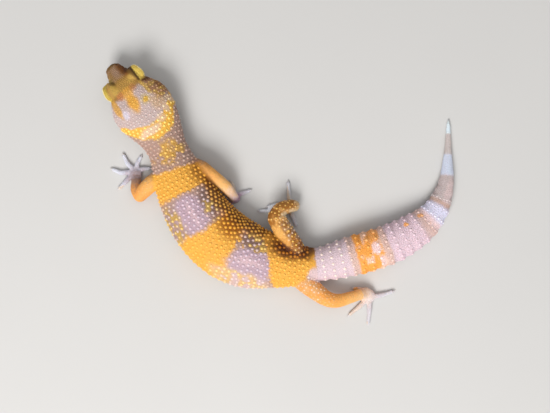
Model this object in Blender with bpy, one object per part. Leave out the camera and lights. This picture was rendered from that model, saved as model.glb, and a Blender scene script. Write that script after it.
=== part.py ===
"""A life-size leopard gecko, walking with its belly and tail on the ground.

Units in the tables are millimetres. +Z is up and the ground is z = 0. The origin lies on the
ground under the middle of the animal's footprint. The head points towards -X +Y and the tail
sweeps round to +X. Left and right are the animal's own.
"""

import math

import bmesh
import bpy
import numpy as np
from mathutils import Matrix, Vector
from mathutils.geometry import interpolate_bezier

MM = 0.001
GAP = 0.3  # clear space between neighbouring pieces

# Spine seen from above, snout tip first. The skull is the straight run of the first three.
SPINE = [
    (-64.4, 49.4),
    (-56.6, 39.3),
    (-48.9, 29.1),
    (-45.3, 23.1),
    (-42.7, 17.5),
    (-37.7, 5.5),
    (-30.4, -8.4),
    (-22.0, -17.4),
    (-12.9, -22.4),
    (-4.4, -24.6),
    (3.8, -26.1),
    (14.4, -26.0),
    (29.1, -22.4),
    (44.4, -17.1),
    (57.3, -8.4),
    (63.2, 2.5),
    (64.7, 15.4),
    (65.1, 29.6),
]

# One row for each named place along the spine:
# distance from the snout, half width, top, widest level, bottom, upper and lower fullness.
# Fullness is the exponent of the section's curve: 2 is an ellipse and more is squarer.
BODY = [
    (0.0, 0.7, 8.1, 7.4, 6.7, 2.0, 2.0),
    (0.35, 1.9, 9.1, 7.4, 5.8, 2.1, 2.0),
    (1.2, 2.9, 9.9, 7.3, 4.9, 2.3, 2.1),
    (3.5, 3.9, 10.9, 7.2, 4.2, 2.5, 2.2),
    (6.5, 5.4, 12.2, 7.2, 3.8, 2.7, 2.2),
    (10.0, 7.6, 13.6, 7.2, 3.4, 2.6, 2.2),
    (14.5, 9.9, 14.8, 7.4, 2.8, 2.3, 2.2),
    (19.0, 11.4, 15.5, 7.7, 2.4, 2.2, 2.2),
    (23.0, 11.5, 15.5, 7.9, 2.2, 2.1, 2.2),
    (28.0, 10.3, 14.8, 7.8, 1.8, 2.1, 2.2),
    (33.0, 8.7, 13.9, 7.3, 1.2, 2.1, 2.2),
    (38.5, 7.7, 13.5, 6.9, 0.7, 2.1, 2.2),
    (45.0, 8.7, 14.3, 6.7, 0.1, 2.1, 2.3),
    (52.0, 10.4, 15.3, 6.5, -0.3, 2.1, 2.4),
    (60.0, 11.6, 16.1, 6.3, -0.4, 2.1, 2.4),
    (70.0, 12.6, 16.5, 6.2, -0.4, 2.1, 2.4),
    (80.0, 13.1, 16.4, 6.2, -0.4, 2.1, 2.4),
    (88.0, 12.9, 15.9, 6.1, -0.4, 2.1, 2.4),
    (96.0, 11.5, 15.1, 6.1, -0.4, 2.1, 2.4),
    (104.0, 9.4, 14.0, 6.0, -0.4, 2.1, 2.3),
    (112.0, 7.5, 12.6, 5.8, -0.3, 2.1, 2.2),
    (119.0, 6.6, 11.5, 5.4, -0.3, 2.1, 2.2),
    (127.0, 7.4, 12.2, 5.6, -0.3, 2.1, 2.2),
    (136.0, 7.8, 12.6, 5.7, -0.3, 2.1, 2.2),
    (145.0, 7.7, 12.0, 5.5, -0.3, 2.1, 2.2),
    (153.0, 7.3, 11.1, 5.1, -0.3, 2.1, 2.2),
    (160.0, 6.6, 9.9, 4.6, -0.3, 2.1, 2.2),
    (166.5, 5.4, 8.3, 3.9, -0.3, 2.1, 2.2),
    (173.0, 4.3, 6.8, 3.2, -0.2, 2.1, 2.2),
    (180.0, 3.2, 5.3, 2.5, -0.2, 2.0, 2.1),
    (187.0, 2.3, 4.0, 1.9, -0.2, 2.0, 2.0),
    (194.0, 1.5, 2.8, 1.4, -0.1, 2.0, 2.0),
    (202.0, 0.95, 1.9, 0.95, 0.0, 2.0, 2.0),
    (204.9, 0.4, 1.3, 0.8, 0.4, 2.0, 2.0),
]

# Lengths of the body from snout to tail tip: node name, start, end, ring spacing, sides.
LENGTHS = [
    ("head", 0.0, 26.5, 1.7, 22),
    ("neck", 26.5, 42.0, 2.6, 22),
    ("trunk_front", 42.0, 64.0, 3.1, 22),
    ("trunk_middle", 64.0, 92.0, 3.5, 22),
    ("trunk_rear", 92.0, 117.4, 3.1, 22),
    ("tail_base", 117.4, 146.2, 1.2, 16),
    ("tail_middle", 146.2, 175.0, 1.2, 14),
    ("tail_end", 175.0, 204.9, 1.8, 12),
]

WHORL = 3.6  # length of one ring of the tail
WHORL_SWELL = 0.035  # how far a ring's rear edge stands out, as a share of the tail's width
WHORLS = (117.4, 190.0)  # where the rings begin and fade out

EYE = dict(back=8.9, side=5.0, level=9.9, radius=2.9)
LID = dict(radius=3.7, opening_length=6.2, opening_height=3.0, slant=12.0, tilt=25.0)
BROW = dict(back=9.0, side=4.9, level=11.3, radii=(3.3, 1.9, 1.2), pitch=20.0)
# The closed mouth, seen from the side: distance behind the snout and height.
MOUTH = [(-1.0, 6.9), (2.0, 6.5), (6.0, 6.0), (11.0, 5.9), (14.5, 6.4), (17.2, 7.3)]
JAW_CORNER_TO_THROAT = (20.5, 1.2)
EAR = dict(back=23.4, side=11.2, level=8.6, radii=(0.7, 1.3, 1.6))

# Limbs. A row is x, y, z, half width and half height. The upper piece starts inside the trunk.
# Toes are (x, y) of the knuckle and the tip, in order from the inner to the outer one.
# The cut at the elbow or knee faces along bend, and the one at the wrist or ankle along wrist.
LIMBS = {
    "fore_left": dict(
        names=("upper_arm_left", "forearm_left", "hand_left"),
        bend=(-0.7, 0.2, -0.4), wrist=(-0.1, 0.8, -0.5),
        upper=[(-42.6, 7.4, 7.6, 3.6, 3.6), (-48.1, 5.3, 7.2, 3.3, 3.4),
               (-51.9, 2.0, 6.2, 3.0, 3.1), (-53.5, 0.1, 5.5, 2.6, 2.9)],
        lower=[(-53.5, 0.1, 5.5, 2.6, 2.9), (-54.9, 2.6, 4.4, 2.5, 2.5),
               (-55.3, 5.2, 3.2, 2.1, 2.0), (-55.5, 6.2, 2.7, 2.0, 1.8)],
        palm=[(-55.5, 6.2, 2.7, 2.0, 1.8), (-55.6, 7.6, 1.9, 2.3, 1.5),
              (-55.8, 9.2, 1.5, 2.4, 1.4), (-55.9, 10.4, 1.1, 1.7, 1.0)],
        toes=[((-52.7, 10.7), (-50.5, 10.8)), ((-55.1, 13.0), (-53.9, 15.2)),
              ((-59.1, 12.8), (-60.6, 15.9)), ((-61.4, 9.1), (-64.8, 10.4)),
              ((-59.8, 5.6), (-62.3, 3.1))],
    ),
    "fore_right": dict(
        names=("upper_arm_right", "forearm_right", "hand_right"),
        bend=(0.75, -0.6, -0.15), wrist=(0.1, -0.2, -1.0),
        upper=[(-35.6, 11.2, 7.6, 3.2, 3.4), (-30.7, 11.2, 8.3, 2.9, 3.1),
               (-26.7, 8.6, 8.9, 2.6, 2.8), (-23.7, 6.2, 8.7, 2.5, 2.7)],
        lower=[(-23.7, 6.2, 8.7, 2.5, 2.7), (-21.1, 3.9, 7.8, 2.45, 2.5),
               (-19.0, 1.3, 6.0, 2.25, 2.2), (-17.5, -0.8, 3.5, 2.0, 1.9)],
        palm=[(-17.5, -0.8, 3.5, 1.9, 1.7), (-17.3, -1.2, 1.9, 2.1, 1.5),
              (-17.6, -0.2, 1.25, 2.2, 1.2), (-18.3, 1.0, 1.0, 1.8, 0.95)],
        toes=[((-19.5, -3.2), (-21.1, -4.3)), ((-20.5, -1.0), (-22.7, -1.4)),
              ((-20.4, 1.8), (-22.3, 3.4)), ((-18.1, 3.6), (-18.9, 5.6)),
              ((-14.6, 1.2), (-11.9, 2.2))],
    ),
    "hind_left": dict(
        names=("thigh_left", "shank_left", "foot_left"),
        bend=(0.9, -0.3, -0.2), wrist=(0.3, 0.05, -1.0),
        upper=[(4.7, -27.2, 7.2, 5.2, 4.9), (11.1, -34.0, 7.4, 4.0, 4.3),
               (16.3, -38.2, 6.9, 3.2, 3.7), (19.1, -39.6, 6.4, 3.0, 3.3)],
        lower=[(19.1, -39.6, 6.4, 3.0, 3.3), (22.3, -39.8, 5.7, 2.7, 2.9),
               (27.1, -38.6, 4.7, 2.3, 2.4), (31.3, -37.4, 3.5, 2.2, 2.1)],
        palm=[(31.3, -37.4, 3.5, 2.2, 1.9), (32.9, -37.3, 2.3, 2.4, 1.7),
              (34.5, -38.4, 1.5, 2.4, 1.4), (34.5, -40.0, 1.1, 1.8, 1.0)],
        toes=[((31.1, -36.0), (28.5, -35.6)), ((29.9, -39.4), (25.5, -39.8)),
              ((30.5, -42.8), (26.9, -45.8)), ((34.5, -44.2), (34.1, -49.2)),
              ((39.2, -38.2), (43.5, -36.9))],
    ),
    "hind_right": dict(
        names=("thigh_right", "shank_right", "foot_right"),
        bend=(0.0, 0.95, -0.25), wrist=(0.15, 0.0, -1.0),
        upper=[(6.5, -25.5, 7.4, 4.0, 4.3), (4.9, -19.0, 8.9, 3.9, 4.2),
               (0.9, -12.6, 9.6, 3.7, 3.8), (-1.7, -8.2, 9.3, 3.5, 3.6)],
        lower=[(-1.7, -8.2, 9.3, 3.4, 3.5), (-0.1, -5.4, 8.5, 3.0, 2.9),
               (3.0, -3.9, 6.4, 2.6, 2.6), (5.9, -3.6, 3.6, 2.3, 2.2)],
        palm=[(5.9, -3.6, 3.6, 2.1, 1.7), (5.4, -3.75, 2.5, 2.15, 1.5),
              (4.2, -4.0, 1.7, 2.3, 1.3), (2.3, -4.4, 1.05, 1.9, 1.0)],
        toes=[((5.1, -8.4), (6.2, -11.2)), ((0.8, -7.8), (-0.9, -10.2)),
              ((-2.5, -5.4), (-7.9, -5.7)), ((-1.5, -3.4), (-4.5, -4.0)),
              ((3.4, 0.8), (3.1, 5.2))],
    ),
}
TOE = dict(root=0.85, knuckle=0.78, tip=0.55, claw=0.26, claw_length=1.0, level=0.62)

LIMB_SIDES, LIMB_RING_STEP = 12, 2.1
OVERRUN = 1.5  # how far a limb's piece is built past its joint before it is cut there
JOINT_BLOCK = (9.0, 4.0)  # width and depth of the block that cuts it
TOE_SIDES = 7

SKIN_YELLOW = (0.78, 0.42, 0.09)
SKIN_LILAC = (0.52, 0.38, 0.38)
DIGIT_LILAC = (0.66, 0.60, 0.66)


def clear_scene():
    for obj in list(bpy.data.objects):
        bpy.data.objects.remove(obj)


def material(name, colour, roughness):
    made = bpy.data.materials.new(name)
    made.use_nodes = True
    shader = made.node_tree.nodes["Principled BSDF"]
    shader.inputs["Base Color"].default_value = (*colour, 1.0)
    shader.inputs["Roughness"].default_value = roughness
    shader.inputs["Metallic"].default_value = 0.0
    return made


class Path:
    """A smooth curve through points, read by the distance along it."""

    def __init__(self, points, steps=16):
        points = [Vector((*p, 0.0)[:3]) for p in points]
        slopes = [b - a for a, b in zip(points[:1] + points[:-1], points[1:] + points[-1:])]
        fine = [points[0]]
        for a, b, before, after in zip(points, points[1:], slopes, slopes[1:]):
            reach = (b - a).length / 3
            handles = (a + before.normalized() * reach, b - after.normalized() * reach)
            fine += interpolate_bezier(a, *handles, b, steps)[1:]
        self.points = np.array(fine)
        sides = np.linalg.norm(np.diff(self.points, axis=0), axis=1)
        self.distances = np.concatenate([[0.0], np.cumsum(sides)])
        self.length = self.distances[-1]

    def at(self, distance):
        where = min(max(distance, 0.0), self.length)
        place = [np.interp(where, self.distances, self.points[:, k]) for k in range(3)]
        return Vector(place)

    def direction(self, distance, span=0.4):
        ahead, behind = self.at(distance + span), self.at(distance - span)
        return (ahead - behind).normalized()


def smooth_rows(rows, at):
    """The rows' values at a place between them, on a curve that doesn't swing past any row."""
    table = np.array(rows)
    places, values = table[:, 0], table[:, 1:]
    widths = np.diff(places)[:, None]
    slopes = np.diff(values, axis=0) / widths
    inner = slopes[:-1] * slopes[1:]
    total = slopes[:-1] + slopes[1:]
    middle = np.where(inner > 0, 2 * inner / np.where(total == 0, 1, total), 0)
    tangents = np.vstack([slopes[:1], middle, slopes[-1:]])
    i = int(np.clip(np.searchsorted(places, at) - 1, 0, len(widths) - 1))
    h = widths[i, 0]
    t = np.clip((at - places[i]) / h, 0, 1)
    return (
        (2 * t**3 - 3 * t**2 + 1) * values[i]
        + (t**3 - 2 * t**2 + t) * h * tangents[i]
        + (3 * t**2 - 2 * t**3) * values[i + 1]
        + (t**3 - t**2) * h * tangents[i + 1]
    )


def curved(value, fullness):
    return math.copysign(abs(value) ** (2 / fullness), value)


def whorl(distance):
    """How much wider the tail is here for its rings, which rise slowly and end in a step."""
    start, end = WHORLS
    if not start < distance < end:
        return 1.0
    phase = ((distance - start) / WHORL) % 1.0
    fade = min(1.0, (distance - start) / WHORL, (end - distance) / (4 * WHORL))
    return 1.0 + WHORL_SWELL * fade * (math.sin(math.pi * phase**1.6) * 2 - 1)


def body_ring(spine, distance, sides, grow=0.0):
    """The section's outline: an ellipse-like top and a flatter belly, cut off at the ground."""
    half, top, widest, bottom, upper, lower = smooth_rows(BODY, distance)
    swell = whorl(distance)
    half = half * swell + grow
    top = widest + (top - widest) * swell + grow
    bottom -= grow
    centre, ahead = spine.at(distance), spine.direction(distance)
    across = ahead.cross(Vector((0, 0, 1))).normalized()
    ring = []
    for k in range(sides):
        turn = 2 * math.pi * (k + 0.5) / sides
        full, reach = (upper, top - widest) if math.sin(turn) > 0 else (lower, widest - bottom)
        side = half * curved(math.cos(turn), full)
        level = widest + reach * curved(math.sin(turn), full)
        lowest = 0.0 if grow == 0 else -grow
        ring.append(Vector((*(centre + across * side).xy, max(level, lowest))))
    return ring


def limb_ring(path, sizes, share, sides):
    distance = share * path.length
    ahead = path.direction(distance)
    across = ahead.cross(Vector((0, 0, 1)))
    across = across.normalized() if across.length > 1e-3 else Vector((1, 0, 0))
    upward = across.cross(ahead)
    wide, high = smooth_rows(sizes, share)
    ring = []
    for k in range(sides):
        turn = 2 * math.pi * (k + 0.5) / sides
        ring.append(
            path.at(distance) + across * wide * math.cos(turn) + upward * high * math.sin(turn)
        )
    return ring


def loft(name, rings):
    """A closed body with a flat cap at each end, through rings of equal counts."""
    bm = bmesh.new()
    loops = [[bm.verts.new(point * MM) for point in ring] for ring in rings]
    for first, second in zip(loops, loops[1:]):
        for k in range(len(first)):
            n = (k + 1) % len(first)
            bm.faces.new((first[k], first[n], second[n], second[k]))
    bm.faces.new(loops[0])
    bm.faces.new(loops[-1])
    bmesh.ops.recalc_face_normals(bm, faces=bm.faces[:])
    return object_from(name, bm)


def object_from(name, bm):
    mesh = bpy.data.meshes.new(name)
    bm.to_mesh(mesh)
    bm.free()
    mesh.shade_smooth()
    obj = bpy.data.objects.new(name, mesh)
    bpy.context.scene.collection.objects.link(obj)
    return obj


def ball(name, place, segments=16, rings=9):
    """A unit sphere carried to its place by a matrix in millimetres."""
    bm = bmesh.new()
    bmesh.ops.create_uvsphere(bm, u_segments=segments, v_segments=rings, radius=1.0)
    bm.transform(Matrix.Scale(MM, 4) @ place)
    return object_from(name, bm)


def prism(name, outline, low, high, place):
    """A flat outline of (back, level) points, extruded from side low to side high."""
    bm = bmesh.new()
    flat = bm.faces.new([bm.verts.new((back, low, level)) for back, level in outline])
    extruded = bmesh.ops.extrude_face_region(bm, geom=[flat], use_keep_orig=True)["geom"]
    moved = [piece for piece in extruded if isinstance(piece, bmesh.types.BMVert)]
    bmesh.ops.translate(bm, vec=(0, high - low, 0), verts=moved)
    bm.transform(Matrix.Scale(MM, 4) @ place)
    bmesh.ops.recalc_face_normals(bm, faces=bm.faces[:])
    return object_from(name, bm)


def combine(target, tool, operation, keep_tool=False):
    """Cuts, joins or keeps the overlap of two bodies, and applies it at once."""
    modifier = target.modifiers.new(operation.lower(), "BOOLEAN")
    modifier.operation = operation
    modifier.object = tool
    modifier.solver = "EXACT"
    bpy.context.view_layer.update()
    evaluated = target.evaluated_get(bpy.context.evaluated_depsgraph_get())
    mesh = bpy.data.meshes.new_from_object(evaluated)
    target.modifiers.clear()
    target.data = mesh
    if not keep_tool:
        bpy.data.objects.remove(tool)


def body_length(spine, name, start, end, step, sides):
    """One length of the body, a little short at each cut so that its neighbours stay clear."""
    start = start + (GAP / 2 if start > 0 else 0)
    end = end - (GAP / 2 if end < BODY[-1][0] else 0)
    count = max(2, round((end - start) / step))
    places = [start + (end - start) * k / count for k in range(count + 1)]
    if start == 0:  # closer rings round the blunt snout
        places = [row[0] for row in BODY[:3]] + [p for p in places if p > 2.0]
    return loft(name, [body_ring(spine, p, sides) for p in places])


def head_frame(spine):
    """Millimetres behind the snout, to the animal's right and up, as a matrix."""
    back = spine.direction(12.0, 8.0)
    right = Vector((0, 0, 1)).cross(back)
    tip = spine.at(0.0)
    return Matrix((
        (back.x, right.x, 0, tip.x),
        (back.y, right.y, 0, tip.y),
        (0, 0, 1, 0),
        (0, 0, 0, 1),
    ))


def scaled(*sizes):
    return Matrix.Diagonal((*sizes, 1.0))


def almond(length, height, points=7):
    """Two arcs that meet in the corners of the eye."""
    half = length / 2
    upper = [(-half + length * k / points) for k in range(points + 1)]
    bow = [height / 2 * (1 - (u / half) ** 2) for u in upper]
    return list(zip(upper, bow)) + [(u, -z) for u, z in reversed(list(zip(upper, bow))[1:-1])]


def jaw_outline(grow):
    """The lower jaw from the side, its upper and rear edges moved outwards by grow."""
    upper = [(back, level + grow) for back, level in MOUTH]
    corner_back, corner_level = JAW_CORNER_TO_THROAT
    return upper + [(corner_back + grow, corner_level), (corner_back + grow, -2.0), (-1.0, -2.0)]


def make_head(spine, head):
    """Adds brows and lids, opens the eyes and ears, and parts the lower jaw at the mouth."""
    frame = head_frame(spine)
    for side, word in ((-1, "left"), (1, "right")):
        eye = frame @ Matrix.Translation((EYE["back"], side * EYE["side"], EYE["level"]))
        brow = frame @ Matrix.Translation((BROW["back"], side * BROW["side"], BROW["level"]))
        brow = brow @ Matrix.Rotation(math.radians(side * LID["slant"]), 4, "Z")
        brow = brow @ Matrix.Rotation(math.radians(-BROW["pitch"]), 4, "Y")
        combine(head, ball("brow", brow @ scaled(*BROW["radii"]), 12, 7), "UNION")
        combine(head, ball("lid", eye @ Matrix.Scale(LID["radius"], 4)), "UNION")
        slit = almond(LID["opening_length"], LID["opening_height"])
        turned = eye @ Matrix.Rotation(math.radians(side * LID["slant"]), 4, "Z")
        turned = turned @ Matrix.Rotation(math.radians(side * LID["tilt"]), 4, "X")
        opening = prism("opening", slit, side * 1.0, side * 6.0, turned)
        combine(head, opening, "DIFFERENCE")
        socket = ball("socket", eye @ Matrix.Scale(EYE["radius"] + GAP, 4))
        combine(head, socket, "DIFFERENCE")
        eyeball = ball("eye_" + word, Matrix.Scale(EYE["radius"], 4))
        eyeball.location = eye.translation * MM
        ear = frame @ Matrix.Translation((EAR["back"], side * EAR["side"], EAR["level"]))
        combine(head, ball("ear", ear @ scaled(*EAR["radii"]), 10, 6), "DIFFERENCE")
    jaw = head.copy()
    jaw.data = head.data.copy()
    jaw.name = "lower_jaw"
    bpy.context.scene.collection.objects.link(jaw)
    wide = BODY[8][1] + 4.0
    below = prism("below", jaw_outline(-GAP / 2), -wide, wide, frame)
    combine(jaw, below, "INTERSECT")
    above = prism("above", jaw_outline(GAP / 2), -wide, wide, frame)
    combine(head, above, "DIFFERENCE")


def segment(name, rows, past_start, past_end):
    """One length of a limb through its rows, run on a little past each end that is cut later."""
    rows = list(rows)
    for wanted, here, inner in ((past_start, 0, 1), (past_end, -1, -2)):
        if wanted:
            near = Vector(rows[here][:3])
            beyond = near + (near - Vector(rows[inner][:3])).normalized() * OVERRUN
            rows.insert(0 if here == 0 else len(rows), (*beyond, *rows[here][3:]))
    path = Path([row[:3] for row in rows])
    legs = [0.0] + [(Vector(b[:3]) - Vector(a[:3])).length for a, b in zip(rows, rows[1:])]
    shares = np.cumsum(legs) / sum(legs)
    sizes = [(share, *row[3:]) for share, row in zip(shares, rows)]
    count = max(3, round(path.length / LIMB_RING_STEP))
    places = [k / count for k in range(count + 1)]
    return loft(name, [limb_ring(path, sizes, p, LIMB_SIDES) for p in places])


def part_at(before, after, joint, direction):
    """Ends two neighbouring pieces at the joint between them, half the gap from its plane."""
    turn = direction.to_track_quat("Z", "Y").to_matrix().to_4x4()
    width, depth = JOINT_BLOCK
    for piece, away in ((before, 1), (after, -1)):
        centre = joint + direction * away * (depth / 2 - GAP / 2)
        place = Matrix.Translation(centre) @ turn @ scaled(width, width, depth)
        combine(piece, box("joint", place), "DIFFERENCE")


def box(name, place):
    """A unit cube carried to its place by a matrix in millimetres."""
    bm = bmesh.new()
    bmesh.ops.create_cube(bm, size=1.0)
    bm.transform(Matrix.Scale(MM, 4) @ place)
    return object_from(name, bm)


def toe(name, root, knuckle, tip):
    """A digit from inside the palm, over the knuckle, to a short down-turned claw."""
    level = TOE["level"]
    end = Vector((*tip, level * 0.9))
    ahead = (end - Vector((*knuckle, level))).normalized()
    claw = end + ahead * TOE["claw_length"]
    rows = [(*root, level + 0.5), (*knuckle, level + 0.2), tuple(end), (claw.x, claw.y, 0.3)]
    path = Path(rows)
    legs = [0.0] + [(Vector(b) - Vector(a)).length for a, b in zip(rows, rows[1:])]
    shares = np.cumsum(legs) / sum(legs)
    radii = (TOE["root"], TOE["knuckle"], TOE["tip"], TOE["claw"])
    sizes = [(share, radius, radius) for share, radius in zip(shares, radii)]
    places = [0.0, shares[1] * 0.6, shares[1], shares[2], 1.0]
    return loft(name, [limb_ring(path, sizes, p, TOE_SIDES) for p in places])


def foot(name, rows, toes):
    """The palm with its five digits joined to it."""
    palm = segment(name, rows, True, False)
    root = (Vector(rows[-2][:2]) * 2 + Vector(rows[-1][:2])) / 3
    for k, (knuckle, tip) in enumerate(toes):
        near = root.lerp(Vector(knuckle), 0.15)
        combine(palm, toe(f"toe_{k}", tuple(near), knuckle, tip), "UNION")
    return palm


def make_limbs(spine, ground):
    """Each limb as upper piece, lower piece and foot, fitted to the body and the ground."""
    fitted = [body_ring(spine, 34.0 + 2.5 * k, 24, grow=GAP) for k in range(41)]
    body = loft("fitted_body", fitted)
    for limb in LIMBS.values():
        upper_name, lower_name, foot_name = limb["names"]
        upper = segment(upper_name, limb["upper"], False, True)
        lower = segment(lower_name, limb["lower"], True, True)
        palm = foot(foot_name, limb["palm"], limb["toes"])
        middle, end = Vector(limb["lower"][0][:3]), Vector(limb["palm"][0][:3])
        part_at(upper, lower, middle, Vector(limb["bend"]).normalized())
        part_at(lower, palm, end, Vector(limb["wrist"]).normalized())
        for piece in (upper, lower, palm):
            combine(piece, body, "DIFFERENCE", keep_tool=True)
            combine(piece, ground, "DIFFERENCE", keep_tool=True)
    bpy.data.objects.remove(body)


def finish(objects):
    """Gathers the pieces in one collection and gives each its colour."""
    collection = bpy.data.collections.new("leopard_gecko")
    bpy.context.scene.collection.children.link(collection)
    skins = {
        "trunk": material("skin_yellow", SKIN_YELLOW, 0.5),
        "head": material("skin_lilac", SKIN_LILAC, 0.5),
        "tail": material("tail_pink", (0.72, 0.55, 0.56), 0.5),
        "hand": material("digit_lilac", DIGIT_LILAC, 0.45),
        "eye": material("eye", (0.45, 0.28, 0.25), 0.1),
    }
    kinds = {"neck": "head", "lower": "head", "foot": "hand"}
    for obj in objects:
        word = obj.name.split("_")[0]
        skin = skins.get(kinds.get(word, word), skins["trunk"])
        obj.data.materials.clear()
        obj.data.materials.append(skin)
        bpy.context.scene.collection.objects.unlink(obj)
        collection.objects.link(obj)


def main():
    clear_scene()
    spine = Path([(*point, 0.0) for point in SPINE])
    for name, start, end, step, sides in LENGTHS:
        piece = body_length(spine, name, start, end, step, sides)
        if name == "head":
            make_head(spine, piece)
    slab = Matrix.Translation((0, 0, -5.0)) @ scaled(200.0, 200.0, 10.0)
    ground = box("ground_slab", slab)
    make_limbs(spine, ground)
    bpy.data.objects.remove(ground)
    finish([obj for obj in bpy.data.objects if obj.type == "MESH"])


main()
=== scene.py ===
import math

import bpy
import numpy as np
from mathutils import Matrix, Vector, noise
from mathutils.bvhtree import BVHTree
from mathutils.geometry import interpolate_bezier
from mathutils.kdtree import KDTree


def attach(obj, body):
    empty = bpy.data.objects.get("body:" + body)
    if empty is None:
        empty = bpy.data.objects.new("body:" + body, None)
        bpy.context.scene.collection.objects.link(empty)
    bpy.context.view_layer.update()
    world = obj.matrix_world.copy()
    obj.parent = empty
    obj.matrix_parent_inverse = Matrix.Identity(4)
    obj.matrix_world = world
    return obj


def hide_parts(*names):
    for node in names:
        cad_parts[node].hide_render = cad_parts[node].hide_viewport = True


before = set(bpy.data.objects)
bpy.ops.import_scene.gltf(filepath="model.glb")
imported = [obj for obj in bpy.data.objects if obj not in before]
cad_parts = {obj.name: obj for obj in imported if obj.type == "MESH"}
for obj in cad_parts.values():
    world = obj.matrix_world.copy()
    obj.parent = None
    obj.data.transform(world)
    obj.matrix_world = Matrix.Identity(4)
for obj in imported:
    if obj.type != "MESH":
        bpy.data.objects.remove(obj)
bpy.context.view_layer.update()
mm = 0.001  # the tables and the shaping below are in millimetres


def deselectAll():
    if bpy.context.object and bpy.context.object.mode != "OBJECT":
        bpy.ops.object.mode_set(mode="OBJECT")
    bpy.ops.object.select_all(action="DESELECT")


def addBall(name, segments, rings):
    deselectAll()
    bpy.ops.mesh.primitive_uv_sphere_add(segments=segments, ring_count=rings, radius=1.0)
    bpy.context.object.name = name
    return bpy.context.object


def applyModifier(obj, kind, **settings):
    modifier = obj.modifiers.new(kind.lower(), kind)
    for key, value in settings.items():
        setattr(modifier, key, value)
    bpy.context.view_layer.objects.active = obj
    bpy.ops.object.modifier_apply(modifier=modifier.name)


def joinPieces(name, parts):  # one object, its mesh brought from millimetres to metres
    deselectAll()
    for part in parts:
        part.select_set(True)
    bpy.context.view_layer.objects.active = parts[0]
    bpy.ops.object.join()
    joined = bpy.context.object
    joined.name = name
    joined.data.transform(Matrix.Scale(mm, 4))
    return joined


def readVectors(entries, key):
    flat = np.empty(len(entries) * 3, np.float32)
    entries.foreach_get(key, flat)
    return flat.reshape(-1, 3).astype(float)


def readPoints(obj):
    return readVectors(obj.data.vertices, "co")


def writePoints(obj, points):
    obj.data.vertices.foreach_set("co", np.asarray(points, np.float32).ravel())
    obj.data.update()


def readNormals(obj):
    return readVectors(obj.data.vertex_normals, "vector")


def readEdges(obj):
    flat = np.empty(len(obj.data.edges) * 2, np.int32)
    obj.data.edges.foreach_get("vertices", flat)
    return flat.reshape(-1, 2)


def unit(vectors):
    return vectors / np.maximum(np.linalg.norm(vectors, axis=-1, keepdims=True), 1e-9)


def ease(low, high, value):  # rises smoothly from 0 to 1 between low and high
    t = np.clip((value - low) / (high - low), 0.0, 1.0)
    return t * t * (3 - 2 * t)


def hump(value, place, width):  # 1 at the place, dying away over the width
    return np.exp(-(((value - place) / width) ** 2))


def addAttribute(obj, name, values, kind="FLOAT_VECTOR"):
    made = obj.data.attributes.new(name, kind, "POINT")
    key = "vector" if kind == "FLOAT_VECTOR" else "value"
    made.data.foreach_set(key, np.asarray(values, np.float32).ravel())


def smoothPath(points, steps=16):
    points = [Vector((*p, 0.0)[:3]) for p in points]
    slopes = [b - a for a, b in zip(points[:1] + points[:-1], points[1:] + points[-1:])]
    fine = [points[0]]
    for a, b, before, after in zip(points, points[1:], slopes, slopes[1:]):
        reach = (b - a).length / 3
        handles = (a + before.normalized() * reach, b - after.normalized() * reach)
        fine += interpolate_bezier(a, *handles, b, steps)[1:]
    fine = np.array(fine)
    sides = np.linalg.norm(np.diff(fine, axis=0), axis=1)
    distances = np.concatenate([[0.0], np.cumsum(sides)])
    return {"points": fine, "distances": distances, "length": distances[-1]}


def pathDirection(path, distance, span=0.4):
    def near(at):
        at = np.clip(at, 0.0, path["length"])
        return np.stack([np.interp(at, path["distances"], path["points"][:, k]) for k in range(3)], -1)

    return unit(near(distance + span) - near(distance - span))


def pathAt(path, distance):  # runs on straight past either end
    inside = np.clip(distance, 0.0, path["length"])
    place = [np.interp(inside, path["distances"], path["points"][:, k]) for k in range(3)]
    beyond = (distance - inside)[..., None]
    return np.stack(place, -1) + pathDirection(path, inside) * beyond


def rowsAt(rows, at):  # a smooth curve through the rows that swings past none of them
    table = np.array(rows, float)
    places, values = table[:, 0], table[:, 1:]
    slopes = np.diff(values, axis=0) / np.diff(places)[:, None]
    inner, total = slopes[:-1] * slopes[1:], slopes[:-1] + slopes[1:]
    middle = np.where(inner > 0, 2 * inner / np.where(total == 0, 1, total), 0)
    tangents = np.vstack([slopes[:1], middle, slopes[-1:]])
    i = np.clip(np.searchsorted(places, at) - 1, 0, len(places) - 2)
    h = (places[i + 1] - places[i])[:, None]
    t = np.clip((at - places[i])[:, None] / h, 0, 1)
    return (
        (2 * t**3 - 3 * t**2 + 1) * values[i]
        + (t**3 - 2 * t**2 + t) * h * tangents[i]
        + (3 * t**2 - 2 * t**3) * values[i + 1]
        + (t**3 - t**2) * h * tangents[i + 1]
    )


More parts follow.
